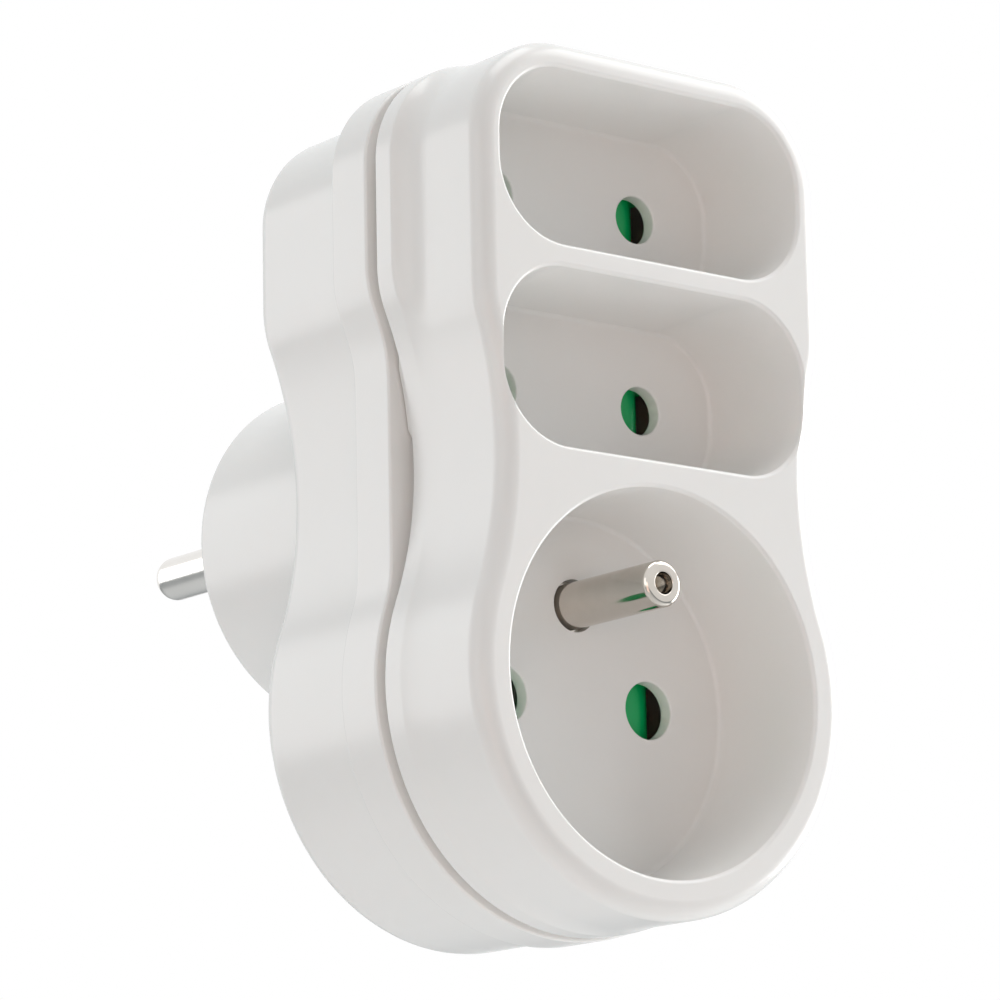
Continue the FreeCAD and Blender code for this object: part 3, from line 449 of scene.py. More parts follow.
def combine(
    base: bpy.types.Object, tools: Sequence[bpy.types.Object], how: Operation
) -> bpy.types.Object:
    """Cut solids out of a base, join them to it or keep what it shares with them.

    Args:
        base: The solid that stays.
        tools: Solids to combine it with, removed afterwards.
        how: Cut, join or keep.

    Returns:
        The base, with its new mesh.
    """
    group = bpy.data.collections.new("tools")
    for tool in tools:
        group.objects.link(tool)
    modifier = base.modifiers.new("Combine", "BOOLEAN")
    modifier.operation = how.value
    modifier.solver = "EXACT"
    modifier.operand_type = "COLLECTION"
    modifier.collection = group
    graph = bpy.context.evaluated_depsgraph_get()
    graph.update()
    mesh = bpy.data.meshes.new_from_object(base.evaluated_get(graph))
    base.modifiers.clear()
    old = base.data
    base.data = mesh
    mesh.name = base.name
    bpy.data.meshes.remove(old)
    bpy.data.collections.remove(group)
    for tool in tools:
        bpy.data.meshes.remove(tool.data)
    return base


def smooth(piece: bpy.types.Object, limit: float = 32.0, weighted: bool = True) -> None:
    """Shade a piece smoothly, with sharp edges past an angle and flat faces kept flat.

    Args:
        piece: The piece.
        limit: Angle in degrees past which an edge stays sharp.
        weighted: Weigh normals by face area, for large flats beside small roundings.
    """
    piece.data.shade_smooth()
    piece.data.set_sharp_from_angle(angle=math.radians(limit))
    if weighted:
        modifier = piece.modifiers.new("FlatFaces", "WEIGHTED_NORMAL")
        modifier.keep_sharp = True
        modifier.weight = 50


# Finishes


class Nodes:
    """A small helper that adds nodes to a tree and wires them by name."""

    def __init__(self, tree: bpy.types.NodeTree) -> None:
        """Keep the tree."""
        self.tree = tree

    def add(
        self, kind: str, inputs: dict[str | int, object] | None = None, **settings: object
    ) -> bpy.types.Node:
        """Add a node, and set its properties and its unwired inputs by name.

        Args:
            kind: Type of the node.
            inputs: Value of each unwired input, by its name or number.
            settings: Value of each property.

        Returns:
            The new node.
        """
        node = self.tree.nodes.new(kind)
        for name, value in settings.items():
            setattr(node, name, value)
        for key, value in (inputs or {}).items():
            node.inputs[key].default_value = value
        return node

    def wire(self, source: bpy.types.NodeSocket, target: bpy.types.NodeSocket) -> None:
        """Join an output to an input."""
        self.tree.links.new(source, target)


def new_group(name: str, inputs: dict[str, float], outputs: dict[str, str]) -> bpy.types.NodeTree:
    """A shader node group with a vector input, number inputs and typed outputs.

    Args:
        name: Name of the group.
        inputs: Name and start value of each number.
        outputs: Name and socket type of each output.

    Returns:
        The group's tree, with its input and output nodes in place.
    """
    group = bpy.data.node_groups.new(name, "ShaderNodeTree")
    face = group.interface
    face.new_socket(name="Place", in_out="INPUT", socket_type="NodeSocketVector")
    for key, value in inputs.items():
        number = face.new_socket(name=key, in_out="INPUT", socket_type="NodeSocketFloat")
        number.default_value = value
    for key, kind in outputs.items():
        face.new_socket(name=key, in_out="OUTPUT", socket_type=kind)
    group.nodes.new("NodeGroupInput")
    group.nodes.new("NodeGroupOutput")
    return group


def moulding_group() -> bpy.types.NodeTree:
    """Moulded surface: broad waviness, a fine eroded texture and a faint cloudiness.

    Returns:
        A group with outputs Mask, from 0 to 1, and Height, for a bump.
    """
    group = new_group(
        "moulded_surface",
        {"Flow Scale": 60.0, "Polish Scale": 1800.0, "Polish Share": 0.2},
        {"Mask": "NodeSocketFloat", "Height": "NodeSocketFloat"},
    )
    nodes = Nodes(group)
    given, result = group.nodes["Group Input"], group.nodes["Group Output"]
    flow = nodes.add("ShaderNodeTexNoise", {"Detail": 4.0, "Roughness": 0.6})
    polish = nodes.add("ShaderNodeTexNoise", {"Detail": 2.0})
    for noise, scale in ((flow, "Flow Scale"), (polish, "Polish Scale")):
        nodes.wire(given.outputs["Place"], noise.inputs["Vector"])
        nodes.wire(given.outputs[scale], noise.inputs["Scale"])
    mix = nodes.add("ShaderNodeMix", data_type="FLOAT")
    nodes.wire(given.outputs["Polish Share"], mix.inputs["Factor"])
    nodes.wire(flow.outputs["Fac"], mix.inputs["A"])
    nodes.wire(polish.outputs["Fac"], mix.inputs["B"])
    nodes.wire(flow.outputs["Fac"], result.inputs["Mask"])
    nodes.wire(mix.outputs["Result"], result.inputs["Height"])
    return group


def turning_group() -> bpy.types.NodeTree:
    """Turned or drawn metal: fine rings across one axis, broken up by faint scuffs.

    Returns:
        A group with outputs Mask, from 0 to 1, and Height, for a bump.
    """
    group = new_group(
        "turned_metal",
        {"Ring Scale": 2600.0, "Scuff Scale": 260.0},
        {"Mask": "NodeSocketFloat", "Height": "NodeSocketFloat"},
    )
    nodes = Nodes(group)
    given, result = group.nodes["Group Input"], group.nodes["Group Output"]
    squeeze = nodes.add("ShaderNodeVectorMath", {1: (0.04, 1.0, 0.04)}, operation="MULTIPLY")
    rings = nodes.add("ShaderNodeTexNoise", {"Detail": 2.0})
    scuff = nodes.add("ShaderNodeTexNoise", {"Detail": 5.0, "Roughness": 0.6})
    nodes.wire(given.outputs["Place"], squeeze.inputs[0])
    nodes.wire(squeeze.outputs["Vector"], rings.inputs["Vector"])
    nodes.wire(given.outputs["Ring Scale"], rings.inputs["Scale"])
    nodes.wire(given.outputs["Place"], scuff.inputs["Vector"])
    nodes.wire(given.outputs["Scuff Scale"], scuff.inputs["Scale"])
    nodes.wire(scuff.outputs["Fac"], result.inputs["Mask"])
    nodes.wire(rings.outputs["Fac"], result.inputs["Height"])
    return group


def start_material(name: str) -> tuple[bpy.types.Material, Nodes, bpy.types.Node]:
    """A material with its helper and its main shader.

    Args:
        name: Name of the material.

    Returns:
        The material, the helper for its nodes and the shader.
    """
    material = bpy.data.materials.new(name)
    material.use_nodes = True
    return material, Nodes(material.node_tree), material.node_tree.nodes["Principled BSDF"]


def set_inputs(node: bpy.types.Node, values: dict[str, object]) -> None:
    """Set a node's unwired inputs by name."""
    for key, value in values.items():
        node.inputs[key].default_value = value


def shade_between(
    nodes: Nodes, mask: bpy.types.NodeSocket, dark: Sequence[float], light: Sequence[float]
) -> bpy.types.NodeSocket:
    """A colour between two, by a mask that is spread to its full range first.

    Args:
        nodes: Helper of the material.
        mask: Noise value.
        dark: Colour at its low end.
        light: Colour at its high end.

    Returns:
        The colour output.
    """
    ramp = nodes.add("ShaderNodeValToRGB")
    ramp.color_ramp.interpolation = "EASE"
    for element, position, color in zip(ramp.color_ramp.elements, NOISE_RANGE, (dark, light)):
        element.position = position
        element.color = (*color, 1)
    nodes.wire(mask, ramp.inputs["Fac"])
    return ramp.outputs["Color"]


def spread(
    nodes: Nodes, mask: bpy.types.NodeSocket, low: float, high: float
) -> bpy.types.NodeSocket:
    """A number between two, by a mask that is spread to its full range first.

    Args:
        nodes: Helper of the material.
        mask: Noise value.
        low: Number at its low end.
        high: Number at its high end.

    Returns:
        The number output.
    """
    low_noise, high_noise = NOISE_RANGE
    limits = {"From Min": low_noise, "From Max": high_noise, "To Min": low, "To Max": high}
    span = nodes.add("ShaderNodeMapRange", limits)
    nodes.wire(mask, span.inputs["Value"])
    return span.outputs["Result"]


@dataclass(frozen=True)
class Finish:
    """What every finish has: two near colours, a band of roughness and a fine bump."""

    name: str
    dark: Color
    light: Color
    smooth_gloss: float
    dull_gloss: float
    depth: float = 0.00001

    def surface(
        self, effect: str, make_effect: Callable[[], bpy.types.NodeTree], strength: float
    ) -> tuple[bpy.types.Material, bpy.types.Node]:
        """Start the material, with colour, roughness and bump from a shared effect.

        Args:
            effect: Name of the effect's node group.
            make_effect: Function that builds the group when it isn't there yet.
            strength: Strength of the bump.

        Returns:
            The material and its main shader.
        """
        material, nodes, shader = start_material(self.name)
        place = nodes.add("ShaderNodeTexCoord")
        group = bpy.data.node_groups.get(effect) or make_effect()
        pattern = nodes.add("ShaderNodeGroup", node_tree=group)
        nodes.wire(place.outputs["Object"], pattern.inputs["Place"])
        mask = pattern.outputs["Mask"]
        nodes.wire(shade_between(nodes, mask, self.dark, self.light), shader.inputs["Base Color"])
        gloss = spread(nodes, mask, self.smooth_gloss, self.dull_gloss)
        nodes.wire(gloss, shader.inputs["Roughness"])
        bump = nodes.add("ShaderNodeBump", {"Strength": strength, "Distance": self.depth})
        nodes.wire(pattern.outputs["Height"], bump.inputs["Height"])
        nodes.wire(bump.outputs["Normal"], shader.inputs["Normal"])
        return material, shader


@dataclass(frozen=True)
class MouldedPlastic(Finish):
    """A glossy moulded plastic with faint flow marks."""

    bump: float = 0.15
    refraction: float = 1.5
    glow_through: float = 0.0
    scatter: Color = (1.0, 0.8, 0.7)
    scatter_scale: float = 0.001

    def build(self) -> bpy.types.Material:
        """Build the material with its flow marks, cloudiness and light under the surface.

        Returns:
            The material.
        """
        material, shader = self.surface("moulded_surface", moulding_group, self.bump)
        values = {
            "IOR": self.refraction,
            "Subsurface Weight": self.glow_through,
            "Subsurface Radius": self.scatter,
            "Subsurface Scale": self.scatter_scale,
        }
        set_inputs(shader, values)
        return material


@dataclass(frozen=True)
class TurnedMetal(Finish):
    """A plated, drawn or stamped metal with fine rings and scuffs."""

    depth: float = 0.000004
    bump: float = 0.2

    def build(self) -> bpy.types.Material:
        """Build the material with its rings, scuffs and metallic shader.

        Returns:
            The material.
        """
        material, shader = self.surface("turned_metal", turning_group, self.bump)
        set_inputs(shader, {"Metallic": 1.0})
        return material


HOUSING_WHITE = MouldedPlastic(
    "housing_white",
    dark=(0.86, 0.852, 0.833),
    light=(0.875, 0.867, 0.85),
    smooth_gloss=0.24,
    dull_gloss=0.27,
    depth=0.000012,
    glow_through=0.1,
)
PLANS = (
    HOUSING_WHITE,
    MouldedPlastic("shutter_green", (0.0, 0.42, 0.12), (0.0, 0.48, 0.14), 0.25, 0.35),
    MouldedPlastic("carrier_white", (0.66, 0.65, 0.62), (0.7, 0.69, 0.66), 0.4, 0.5),
    TurnedMetal("pin_nickel", (0.60, 0.56, 0.51), (0.66, 0.62, 0.57), 0.09, 0.15),
    # Same nickel as the earth pin, made lighter: painted light that stands in for the plug pins'
    # bright reflection of the white surroundings
    TurnedMetal("plug_pin_nickel", (0.78, 0.76, 0.73), (0.82, 0.8, 0.77), 0.16, 0.26),
    TurnedMetal("spring_steel", (0.5, 0.5, 0.5), (0.6, 0.6, 0.6), 0.22, 0.34),
    TurnedMetal("contact_brass", (0.62, 0.42, 0.16), (0.72, 0.52, 0.22), 0.22, 0.36),
    TurnedMetal("screw_zinc", (0.5, 0.5, 0.52), (0.62, 0.62, 0.64), 0.25, 0.4),
)


@dataclass
class Finishes:
    """Every finish of the adapter by name, each built once."""

    plans: dict[str, MouldedPlastic | TurnedMetal] = field(
        default_factory=lambda: {plan.name: plan for plan in PLANS}
    )
    made: dict[str, bpy.types.Material] = field(default_factory=dict)

    def get(self, name: str) -> bpy.types.Material:
        """The named finish's material, built once.

        Args:
            name: Name of the finish.

        Returns:
            Its material.
        """
        if name not in self.made:
            self.made[name] = self.plans[name].build()
        return self.made[name]

    def dress(self, piece: bpy.types.Object, slot: str, finish: str = "") -> None:
        """Give a new piece the finish of its slot, or another named finish.

        Args:
            piece: The new piece.
            slot: The record's slot.
            finish: Another finish of the same stuff, such as a lighter copy with painted light, or
                the slot's own where it is left out.
        """
        piece.data.materials.clear()
        piece.data.materials.append(self.get(finish or slot))

    def dress_frame(self, frame: dict) -> None:
        """Give each carried-over part the finish of its own slot.
        """
        slots = {entry["node"]: entry["material_slot"] for entry in frame["record"]["subparts"]}
        for node, part in frame["nodes"].items():
            for material_slot in part.material_slots:
                material_slot.material = self.get(slots[node])


# The housing


@dataclass(frozen=True)
class Heights:
    """Heights above the plug face of the planes that the parts share."""

    back: float = 18.3
    back_inside: float = 19.8
    ledge: float = 33.2
    bosses_meet: float = 37.5
    parting: float = 39.0
    cover_rear: float = 40.0
    grip: float = 42.8
    brow: float = 46.5
    face_back: float = 53.0
    front: float = 55.0


@dataclass(frozen=True)
class Socket:
    """One recess in the front cover, with its two entry holes."""

    place: Place
    hole: float
    half: float
    rise: float
    corner: float
    steps: int = 24
    depth: float = 14.2
    draft: float = 0.5

    @property
    def outline(self) -> RoundedBox:
        """Outline of the recess at its rim."""
        return RoundedBox(self.half, self.rise, self.corner, self.place.value, 0.0, self.steps)

    def floor(self, heights: Heights) -> float:
        """Height of the recess floor."""
        return heights.front - self.depth


ROUND_SOCKET = Socket(Place.BOTTOM, hole=3.0, half=19.7, rise=19.7, corner=19.7, steps=40)
FLAT_SOCKET = Socket(Place.MIDDLE, hole=2.55, half=19.65, rise=9.2, corner=8.0)
SOCKETS = (ROUND_SOCKET, FLAT_SOCKET, replace(FLAT_SOCKET, place=Place.TOP))


@dataclass(frozen=True)
class Screws:
    """The two screws that hold the housing, with their bosses, pilots and wells."""

    x: float = 17.0
    z: float = 20.45
    cover_boss: float = 2.8
    shell_boss: float = 3.4
    pilot: float = 1.25
    pilot_depth: float = 8.3
    shank_hole: float = 1.4
    head_well: float = 2.6
    head_seat: float = 33.0

    def pair(self, name: str, radius: float, low: float, high: float) -> list[bpy.types.Object]:
        """Two cylinders on the screws' axes.

        Args:
            name: Name of each cylinder.
            radius: Their radius.
            low: Height of their rear ends.
            high: Height of their front ends.

        Returns:
            The closed cylinders.
        """
        outlines = [circle(side.value * self.x, self.z, radius) for side in Side]
        return [skin(name, prism_rings(outline, low, high)) for outline in outlines]


@dataclass
class FrontCover:
    """The white front cover with its grip, three recesses and entry holes."""

    heights: Heights = field(default_factory=Heights)
    screws: Screws = field(default_factory=Screws)
    outline: PearOutline = PearOutline(half=22.4, lobe=23.7, waist=20.0, crown=42.9)
    lip: float = 1.8
    lobe_draft: float = 0.25
    front_round: float = 2.0
    lip_round: float = 0.5
    rear_edge: float = 0.3
    wall: float = 1.7
    lip_wall: float = 1.4
    cup_wall: float = 1.2
    cup_inset: float = 0.4
    floor_wall: float = 1.6
    rim_round: float = 0.45
    foot_round: float = 0.5
    hole_round: float = 0.2
    stake_places: tuple[float, float] = (-12.2, 10.5)
    stake_drop: float = 3.0
    stake_half: float = 0.8
    stake_corner: float = 0.1
    stake_end: float = 0.2
    head_half: float = 1.2
    head_corner: float = 0.4
    head_depth: float = 0.4
    head_round: float = 0.3
    plate_depth: float = 6.6

    def widened(self, share: float) -> PearOutline:
        """The outline with a share of the grip's lip and of the lobe's draft.

        Args:
            share: 0 for the straight wall, 1 for the lip.

        Returns:
            The wider outline.
        """
        return replace(
            self.outline,
            half=self.outline.half + share * self.lip,
            lobe=self.outline.lobe + share * self.lobe_draft,
        )

    def grip_profile(self) -> np.ndarray:
        """Side wall from the rear edge to the front, as shares of the lip and heights.

        The hollow is an arc that leaves the straight wall tangentially: its sideways reach is
        R - sqrt(R^2 - d^2) at depth d, and R makes the reach equal the lip at its full depth.
        The lip's corner is a curve (1 - t)^2 a + 2 t (1 - t) c + t^2 b from a to b about c.

        Returns:
            Array of shape (n, 2).
        """
        deep = self.heights.brow - self.heights.grip
        radius = (deep**2 + self.lip**2) / (2 * self.lip)
        depth = np.linspace(deep, 0, 15)
        share = (radius - np.sqrt(radius**2 - depth**2)) / self.lip
        hollow = np.stack([share, self.heights.brow - depth], axis=1)
        before, corner, after = hollow[0] - np.array([0, self.lip_round / 2]), hollow[0], hollow[1]
        t = np.linspace(0, 1, 5)[:, None]
        bend = (1 - t) ** 2 * before + 2 * t * (1 - t) * corner + t**2 * after
        rear = np.array([[1.0, self.heights.cover_rear + self.rear_edge]])
        return np.concatenate([rear, bend, hollow[2:]])

    def outside(self) -> bpy.types.Object:
        """The outer form: rear edge, lip, hollow, straight wall and rounded front edge.

        Returns:
            The closed solid that the other forms are cut from and joined to.
        """
        rings = [ring(self.widened(1).inset(self.rear_edge), self.heights.cover_rear)]
        rings += [ring(self.widened(s), h) for s, h in self.grip_profile()]
        front = quarter(self.front_round, 10)[::-1]
        rings += [ring(self.outline.inset(i), self.heights.front - d) for i, d in front]
        return skin("front_cover_moulding", np.stack(rings))

    def cavity(self) -> list[bpy.types.Object]:
        """The hollow behind the front plate and the seat of the shell's tongue.

        Returns:
            The cutters.
        """
        low = self.heights.cover_rear - PAST
        inner = prism_rings(self.outline.inset(self.wall), low, self.heights.face_back)
        seat = prism_rings(self.widened(1).inset(self.lip_wall), low, self.heights.grip)
        return [skin("hollow", inner), skin("seat", seat)]

    def cups(self) -> list[bpy.types.Object]:
        """Solid cups round the recesses with their stakes, and the two screw bosses.

        Returns:
            The solids to join.
        """
        high = self.heights.face_back + OVERLAP
        within = self.outline.inset(self.cup_inset)
        made = []
        for socket in SOCKETS:
            low = socket.floor(self.heights) - self.floor_wall
            cup = skin("cup", prism_rings(socket.outline.inset(-self.cup_wall), low, high))
            limit = skin("limit", prism_rings(within, low - PAST, high + PAST))
            made.append(combine(cup, [limit], Operation.KEEP))
            made += self.stakes(socket, low)
        boss = self.screws.cover_boss
        return made + self.screws.pair("boss", boss, self.heights.bosses_meet, high)

    def stakes(self, socket: Socket, floor_back: float) -> list[bpy.types.Object]:
        """Two square stakes behind a recess floor, each with its melted head.

        Args:
            socket: The socket that they stand behind.
            floor_back: Height of the floor's rear side.

        Returns:
            The stakes and their heads.
        """
        plate = floor_back - self.plate_depth
        z = socket.place.value - socket.hole - self.stake_drop
        made = []
        for x in self.stake_places:
            stake = RoundedBox(self.stake_half, self.stake_half, self.stake_corner, z, x, steps=2)
            low, high = plate - self.stake_end, floor_back + OVERLAP
            made.append(skin("stake", prism_rings(stake, low, high)))
            head = RoundedBox(self.head_half, self.head_half, self.head_corner, z, x, steps=4)
            low = plate - self.head_depth
            made.append(skin("head", prism_rings(head, low, plate, self.head_round)))
        return made

    def recess(self, socket: Socket) -> bpy.types.Object:
        """Cutter for a recess: rounded rim, slightly tapered wall and a rounded foot.

        Args:
            socket: The socket whose recess it is.

        Returns:
            The closed cutter.
        """
        floor = socket.floor(self.heights)
        front = self.heights.front
        base = socket.outline.inset(socket.draft)
        foot, rim = quarter(self.foot_round), quarter(self.rim_round)[::-1]
        rings = [ring(base.inset(i), floor + d) for i, d in foot]
        rings += [ring(socket.outline.inset(-i), front - d) for i, d in rim]
        rings.append(ring(socket.outline.inset(-self.rim_round), front + PAST))
        return skin("recess", np.stack(rings))

    def hole(self, x: float, z: float, radius: float, floor: float) -> bpy.types.Object:
        """Cutter for a round hole through a floor, with a softened mouth.

        Args:
            x: Axis, across.
            z: Axis, upwards.
            radius: Radius of the hole.
            floor: Height of the floor.

        Returns:
            The closed cutter.
        """
        outline = circle(x, z, radius)
        rings = [ring(outline, floor - self.floor_wall - PAST)]
        rings += [ring(outline.inset(-i), floor - d) for i, d in quarter(self.hole_round, 4)[::-1]]
        rings.append(ring(outline.inset(-self.hole_round), floor + PAST))
        return skin("hole", np.stack(rings))

    def openings(self) -> list[bpy.types.Object]:
        """All cutters of the front: recesses, entry holes, earth pin hole and screw pilots.

        Returns:
            The cutters.
        """
        made = [self.recess(socket) for socket in SOCKETS]
        for socket in SOCKETS:
            z, floor = socket.place.value, socket.floor(self.heights)
            made += [self.hole(side.value * POLE, z, socket.hole, floor) for side in Side]
        floor = ROUND_SOCKET.floor(self.heights)
        earth = circle(0, EARTH_RISE + Place.BOTTOM.value, LAND_BORE)
        rings = prism_rings(earth, floor - self.floor_wall - PAST, floor + PAST)
        made.append(skin("earth", rings))
        low = self.heights.bosses_meet
        high = low + self.screws.pilot_depth
        return made + self.screws.pair("pilot", self.screws.pilot, low - PAST, high)

    def build(self, finishes: Finishes) -> bpy.types.Object:
        """Build the cover and let it stand for its part.

        Args:
            finishes: Finishes of the adapter.

        Returns:
            The cover.
        """
        cover = self.outside()
        combine(cover, self.cavity(), Operation.CUT)
        combine(cover, self.cups(), Operation.JOIN)
        combine(cover, self.openings(), Operation.CUT)
        smooth(cover)
        finishes.dress(cover, "housing_white")
        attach(cover, "housing")
        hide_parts("front_cover")
        return cover


@dataclass
class RearShell:
    """The white rear shell with its flange, tongue, plug boss and guides."""

    heights: Heights = field(default_factory=Heights)
    screws: Screws = field(default_factory=Screws)
    outline: PearOutline = PearOutline(half=23.7, lobe=23.5, waist=19.7, crown=40.6)
    flange: BridgedOutline = BridgedOutline(half=24.6, lobe=24.2, waist=20.4, crown=42.7)
    tongue: PearOutline = PearOutline(half=24.2, lobe=23.95, waist=20.0, crown=42.9)
    back_round: float = 2.2
    edge_round: float = 0.3
    boss: float = 18.5
    boss_round: float = 1.0
    boss_wall: float = 2.2
    wall: float = 2.0
    plug_wall: float = 2.4
    tongue_inset: float = 1.55
    tongue_height: float = 2.4
    relief_gap: float = 0.15
    guide: float = 3.35
    guide_height: float = 8.0
    earth_hole: float = 3.1
    earth_mouth: float = 0.4
    earth_seat: float = 3.3
    earth_guide: float = 4.5
    earth_guide_height: float = 13.0

    @property
    def tongue_top(self) -> float:
        """Height of the tongue's front edge."""
        return self.heights.parting + self.tongue_height

    def outside(self) -> bpy.types.Object:
        """Shell, flange with its straight waist, tongue and boss, joined.

        Returns:
            The joined solid.
        """
        h = self.heights
        edge = self.edge_round
        tongue_outline = self.tongue.inset(self.tongue_inset)
        boss_outline = circle(0, 0, self.boss, steps=40)
        shell = prism_rings(self.outline, h.back, h.ledge + PAST, self.back_round)
        flange = prism_rings(self.flange, h.ledge, h.parting, edge, edge)
        tongue = prism_rings(tongue_outline, h.parting - PAST, self.tongue_top)
        boss = prism_rings(boss_outline, 0, h.back + self.back_round, self.boss_round)
        parts = [skin("flange", flange), skin("tongue", tongue), skin("boss", boss)]
        return combine(skin("rear_shell_moulding", shell), parts, Operation.JOIN)

    def hollows(self) -> list[bpy.types.Object]:
        """Cutters for the inside of the shell and boss, and the relief round the cups.

        Returns:
            The cutters.
        """
        h = self.heights
        top = self.tongue_top + PAST
        cavity = prism_rings(self.outline.inset(self.wall), h.back_inside, top)
        inside = circle(0, 0, self.boss - self.boss_wall, steps=24)
        well = prism_rings(inside, self.plug_wall, h.back_inside + PAST)
        made = [skin("cavity", cavity), skin("well", well)]
        around = FrontCover.cup_wall + self.relief_gap
        for socket in SOCKETS[1:]:
            relief = prism_rings(socket.outline.inset(-around), h.parting, top)
            made.append(skin("relief", relief))
        return made

    def guides(self) -> list[bpy.types.Object]:
        """Guides round the pins and the earth contact, and the screw bosses.

        Returns:
            The solids to join.
        """
        h = self.heights
        low = self.plug_wall - OVERLAP
        outlines = [circle(side.value * POLE, 0, self.guide) for side in Side]
        made = [skin("guide", prism_rings(each, low, self.guide_height)) for each in outlines]
        earth = circle(0, EARTH_RISE, self.earth_guide)
        made.append(skin("earth_guide", prism_rings(earth, low, self.earth_guide_height)))
        boss = self.screws.shell_boss
        return made + self.screws.pair("screw_boss", boss, h.back_inside - OVERLAP, h.bosses_meet)

    def bores(self) -> list[bpy.types.Object]:
        """Cutters for the pin bores, the earth hole and the deep screw wells.

        Returns:
            The cutters.
        """
        h, screws = self.heights, self.screws
        outlines = [circle(side.value * POLE, 0, LAND_BORE) for side in Side]
        high = self.guide_height + PAST
        made = [skin("bore", prism_rings(each, -PAST, high)) for each in outlines]
        seat = circle(0, EARTH_RISE, self.earth_seat)
        made.append(skin("seat", prism_rings(seat, self.plug_wall, self.earth_guide_height + PAST)))
        hole = circle(0, EARTH_RISE, self.earth_hole)
        rings = [ring(hole.inset(-self.earth_mouth), -PAST)]
        rings += [ring(hole.inset(-i), d) for i, d in quarter(self.earth_mouth, 5)]
        rings.append(ring(hole, self.plug_wall + PAST))
        made.append(skin("earth_hole", np.stack(rings)))
        made += screws.pair("screw_well", screws.head_well, h.back - PAST, screws.head_seat)
        low, high = screws.head_seat - PAST, h.bosses_meet + PAST
        return made + screws.pair("screw_hole", screws.shank_hole, low, high)

    def build(self, finishes: Finishes) -> bpy.types.Object:
        """Build the shell and let it stand for its part.

        Args:
            finishes: Finishes of the adapter.

        Returns:
            The shell.
        """
        shell = self.outside()
        combine(shell, self.hollows(), Operation.CUT)
        combine(shell, self.guides(), Operation.JOIN)
        combine(shell, self.bores(), Operation.CUT)
        smooth(shell)
        finishes.dress(shell, "housing_white")
        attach(shell, "housing")
        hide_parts("rear_shell")
        return shell


# Metal pieces and shutters


@dataclass
class Pins:
    """The two plug pins and the round socket's earth pin, turned finely."""

    heights: Heights = field(default_factory=Heights)
    radius: float = 2.4
    land: float = 2.7
    collar: float = 3.3
    collar_depth: float = 1.0
    shank: float = 1.8
    tail: float = 1.3
    nose: float = 1.9
    nose_height: float = -19.0
    tail_top: float = 20.6
    earth_low: float = 31.0
    earth_shank: float = 31.8
    earth_tip: float = 54.9
    earth_round: float = 0.6
    foot_ring: float = 1.2
    drill: float = 1.15
    drill_round: float = 0.1
    drill_depth: float = 3.2
    drill_point: float = 0.5
    drill_end: float = 0.1

    @staticmethod
    def edge(radius: float, height: float, size: float, up: bool) -> np.ndarray:
        """A rounded outer end: radii and heights along a quarter circle at a tip.

        Args:
            radius: Radius of the pin.
            height: Height of the tip.
            size: Radius of the rounding.
            up: True for the front end, listed towards the tip.

        Returns:
            Array of shape (n, 2) of radius and height.
        """
        bend = quarter(size, 10)
        sign = -1 if up else 1
        rows = np.stack([radius - bend[:, 0], height + sign * bend[:, 1]], axis=1)
        return rows[::-1] if up else rows

    def plug_pin(self, side: Side, finishes: Finishes) -> bpy.types.Object:
        """One plug pin, from its nose to its tail in the busbar.

        Args:
            side: Left or right pin.
            finishes: Finishes of the adapter.

        Returns:
            The pin.
        """
        guide = RearShell.guide_height
        steps = [
            (self.radius, 0),
            (self.land, 0),
            (self.land, guide),
            (self.collar, guide),
            (self.collar, guide + self.collar_depth),
            (self.shank, guide + self.collar_depth),
            (self.shank, self.heights.back_inside),
            (self.tail, self.heights.back_inside),
            (self.tail, self.tail_top),
        ]
        nose = self.edge(self.radius, self.nose_height, self.nose, up=False)
        word = side.name.lower()
        profile = np.concatenate([nose, np.array(steps)])
        pin = turned(f"turned_plug_pin_{word}", profile, side.value * POLE, 0)
        # The plug pins' lighter nickel is painted light for their bright reflection
        return self.finish(pin, f"plug_pin_{word}", "plug_pin_nickel", finishes)

    def earth_pin(self, finishes: Finishes) -> bpy.types.Object:
        """The earth pin, from its tail in the strap to the drilling in its tip.

        Args:
            finishes: Finishes of the adapter.

        Returns:
            The pin.
        """
        floor = ROUND_SOCKET.floor(self.heights)
        floor_back = floor - FrontCover.floor_wall
        steps = [
            (self.tail, self.earth_low),
            (self.tail, self.earth_shank),
            (self.shank, self.earth_shank),
            (self.shank, floor_back - self.collar_depth),
            (self.collar, floor_back - self.collar_depth),
            (self.collar, floor_back),
            (self.land, floor_back),
            (self.land, floor - self.foot_ring),
            (self.radius, floor - self.foot_ring),
        ]
        tip = self.edge(self.radius, self.earth_tip, self.earth_round, up=True)
        bend = quarter(self.drill_round, 4)
        mouth = np.stack([self.drill + bend[:, 0], self.earth_tip - bend[:, 1]], axis=1)
        bottom = self.earth_tip - self.drill_depth
        drilling = [(self.drill, bottom), (self.drill_end, bottom - self.drill_point)]
        profile = np.concatenate([np.array(steps), tip, mouth, np.array(drilling)])
        pin = turned("turned_earth_pin", profile, 0, EARTH_RISE + Place.BOTTOM.value)
        return self.finish(pin, "socket_earth_pin", "pin_nickel", finishes)

    @staticmethod
    def finish(
        pin: bpy.types.Object, node: str, metal: str, finishes: Finishes
    ) -> bpy.types.Object:
        """Shade and dress a pin, and let it stand for its part.

        Args:
            pin: The turned pin.
            node: The part that it replaces.
            metal: Name of its finish.
            finishes: Finishes of the adapter.

        Returns:
            The pin.
        """
        smooth(pin, limit=40)
        finishes.dress(pin, "pin_nickel", metal)
        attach(pin, "housing")
        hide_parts(node)
        return pin

    def build(self, finishes: Finishes) -> list[bpy.types.Object]:
        """All three pins."""
        return [self.plug_pin(side, finishes) for side in Side] + [self.earth_pin(finishes)]


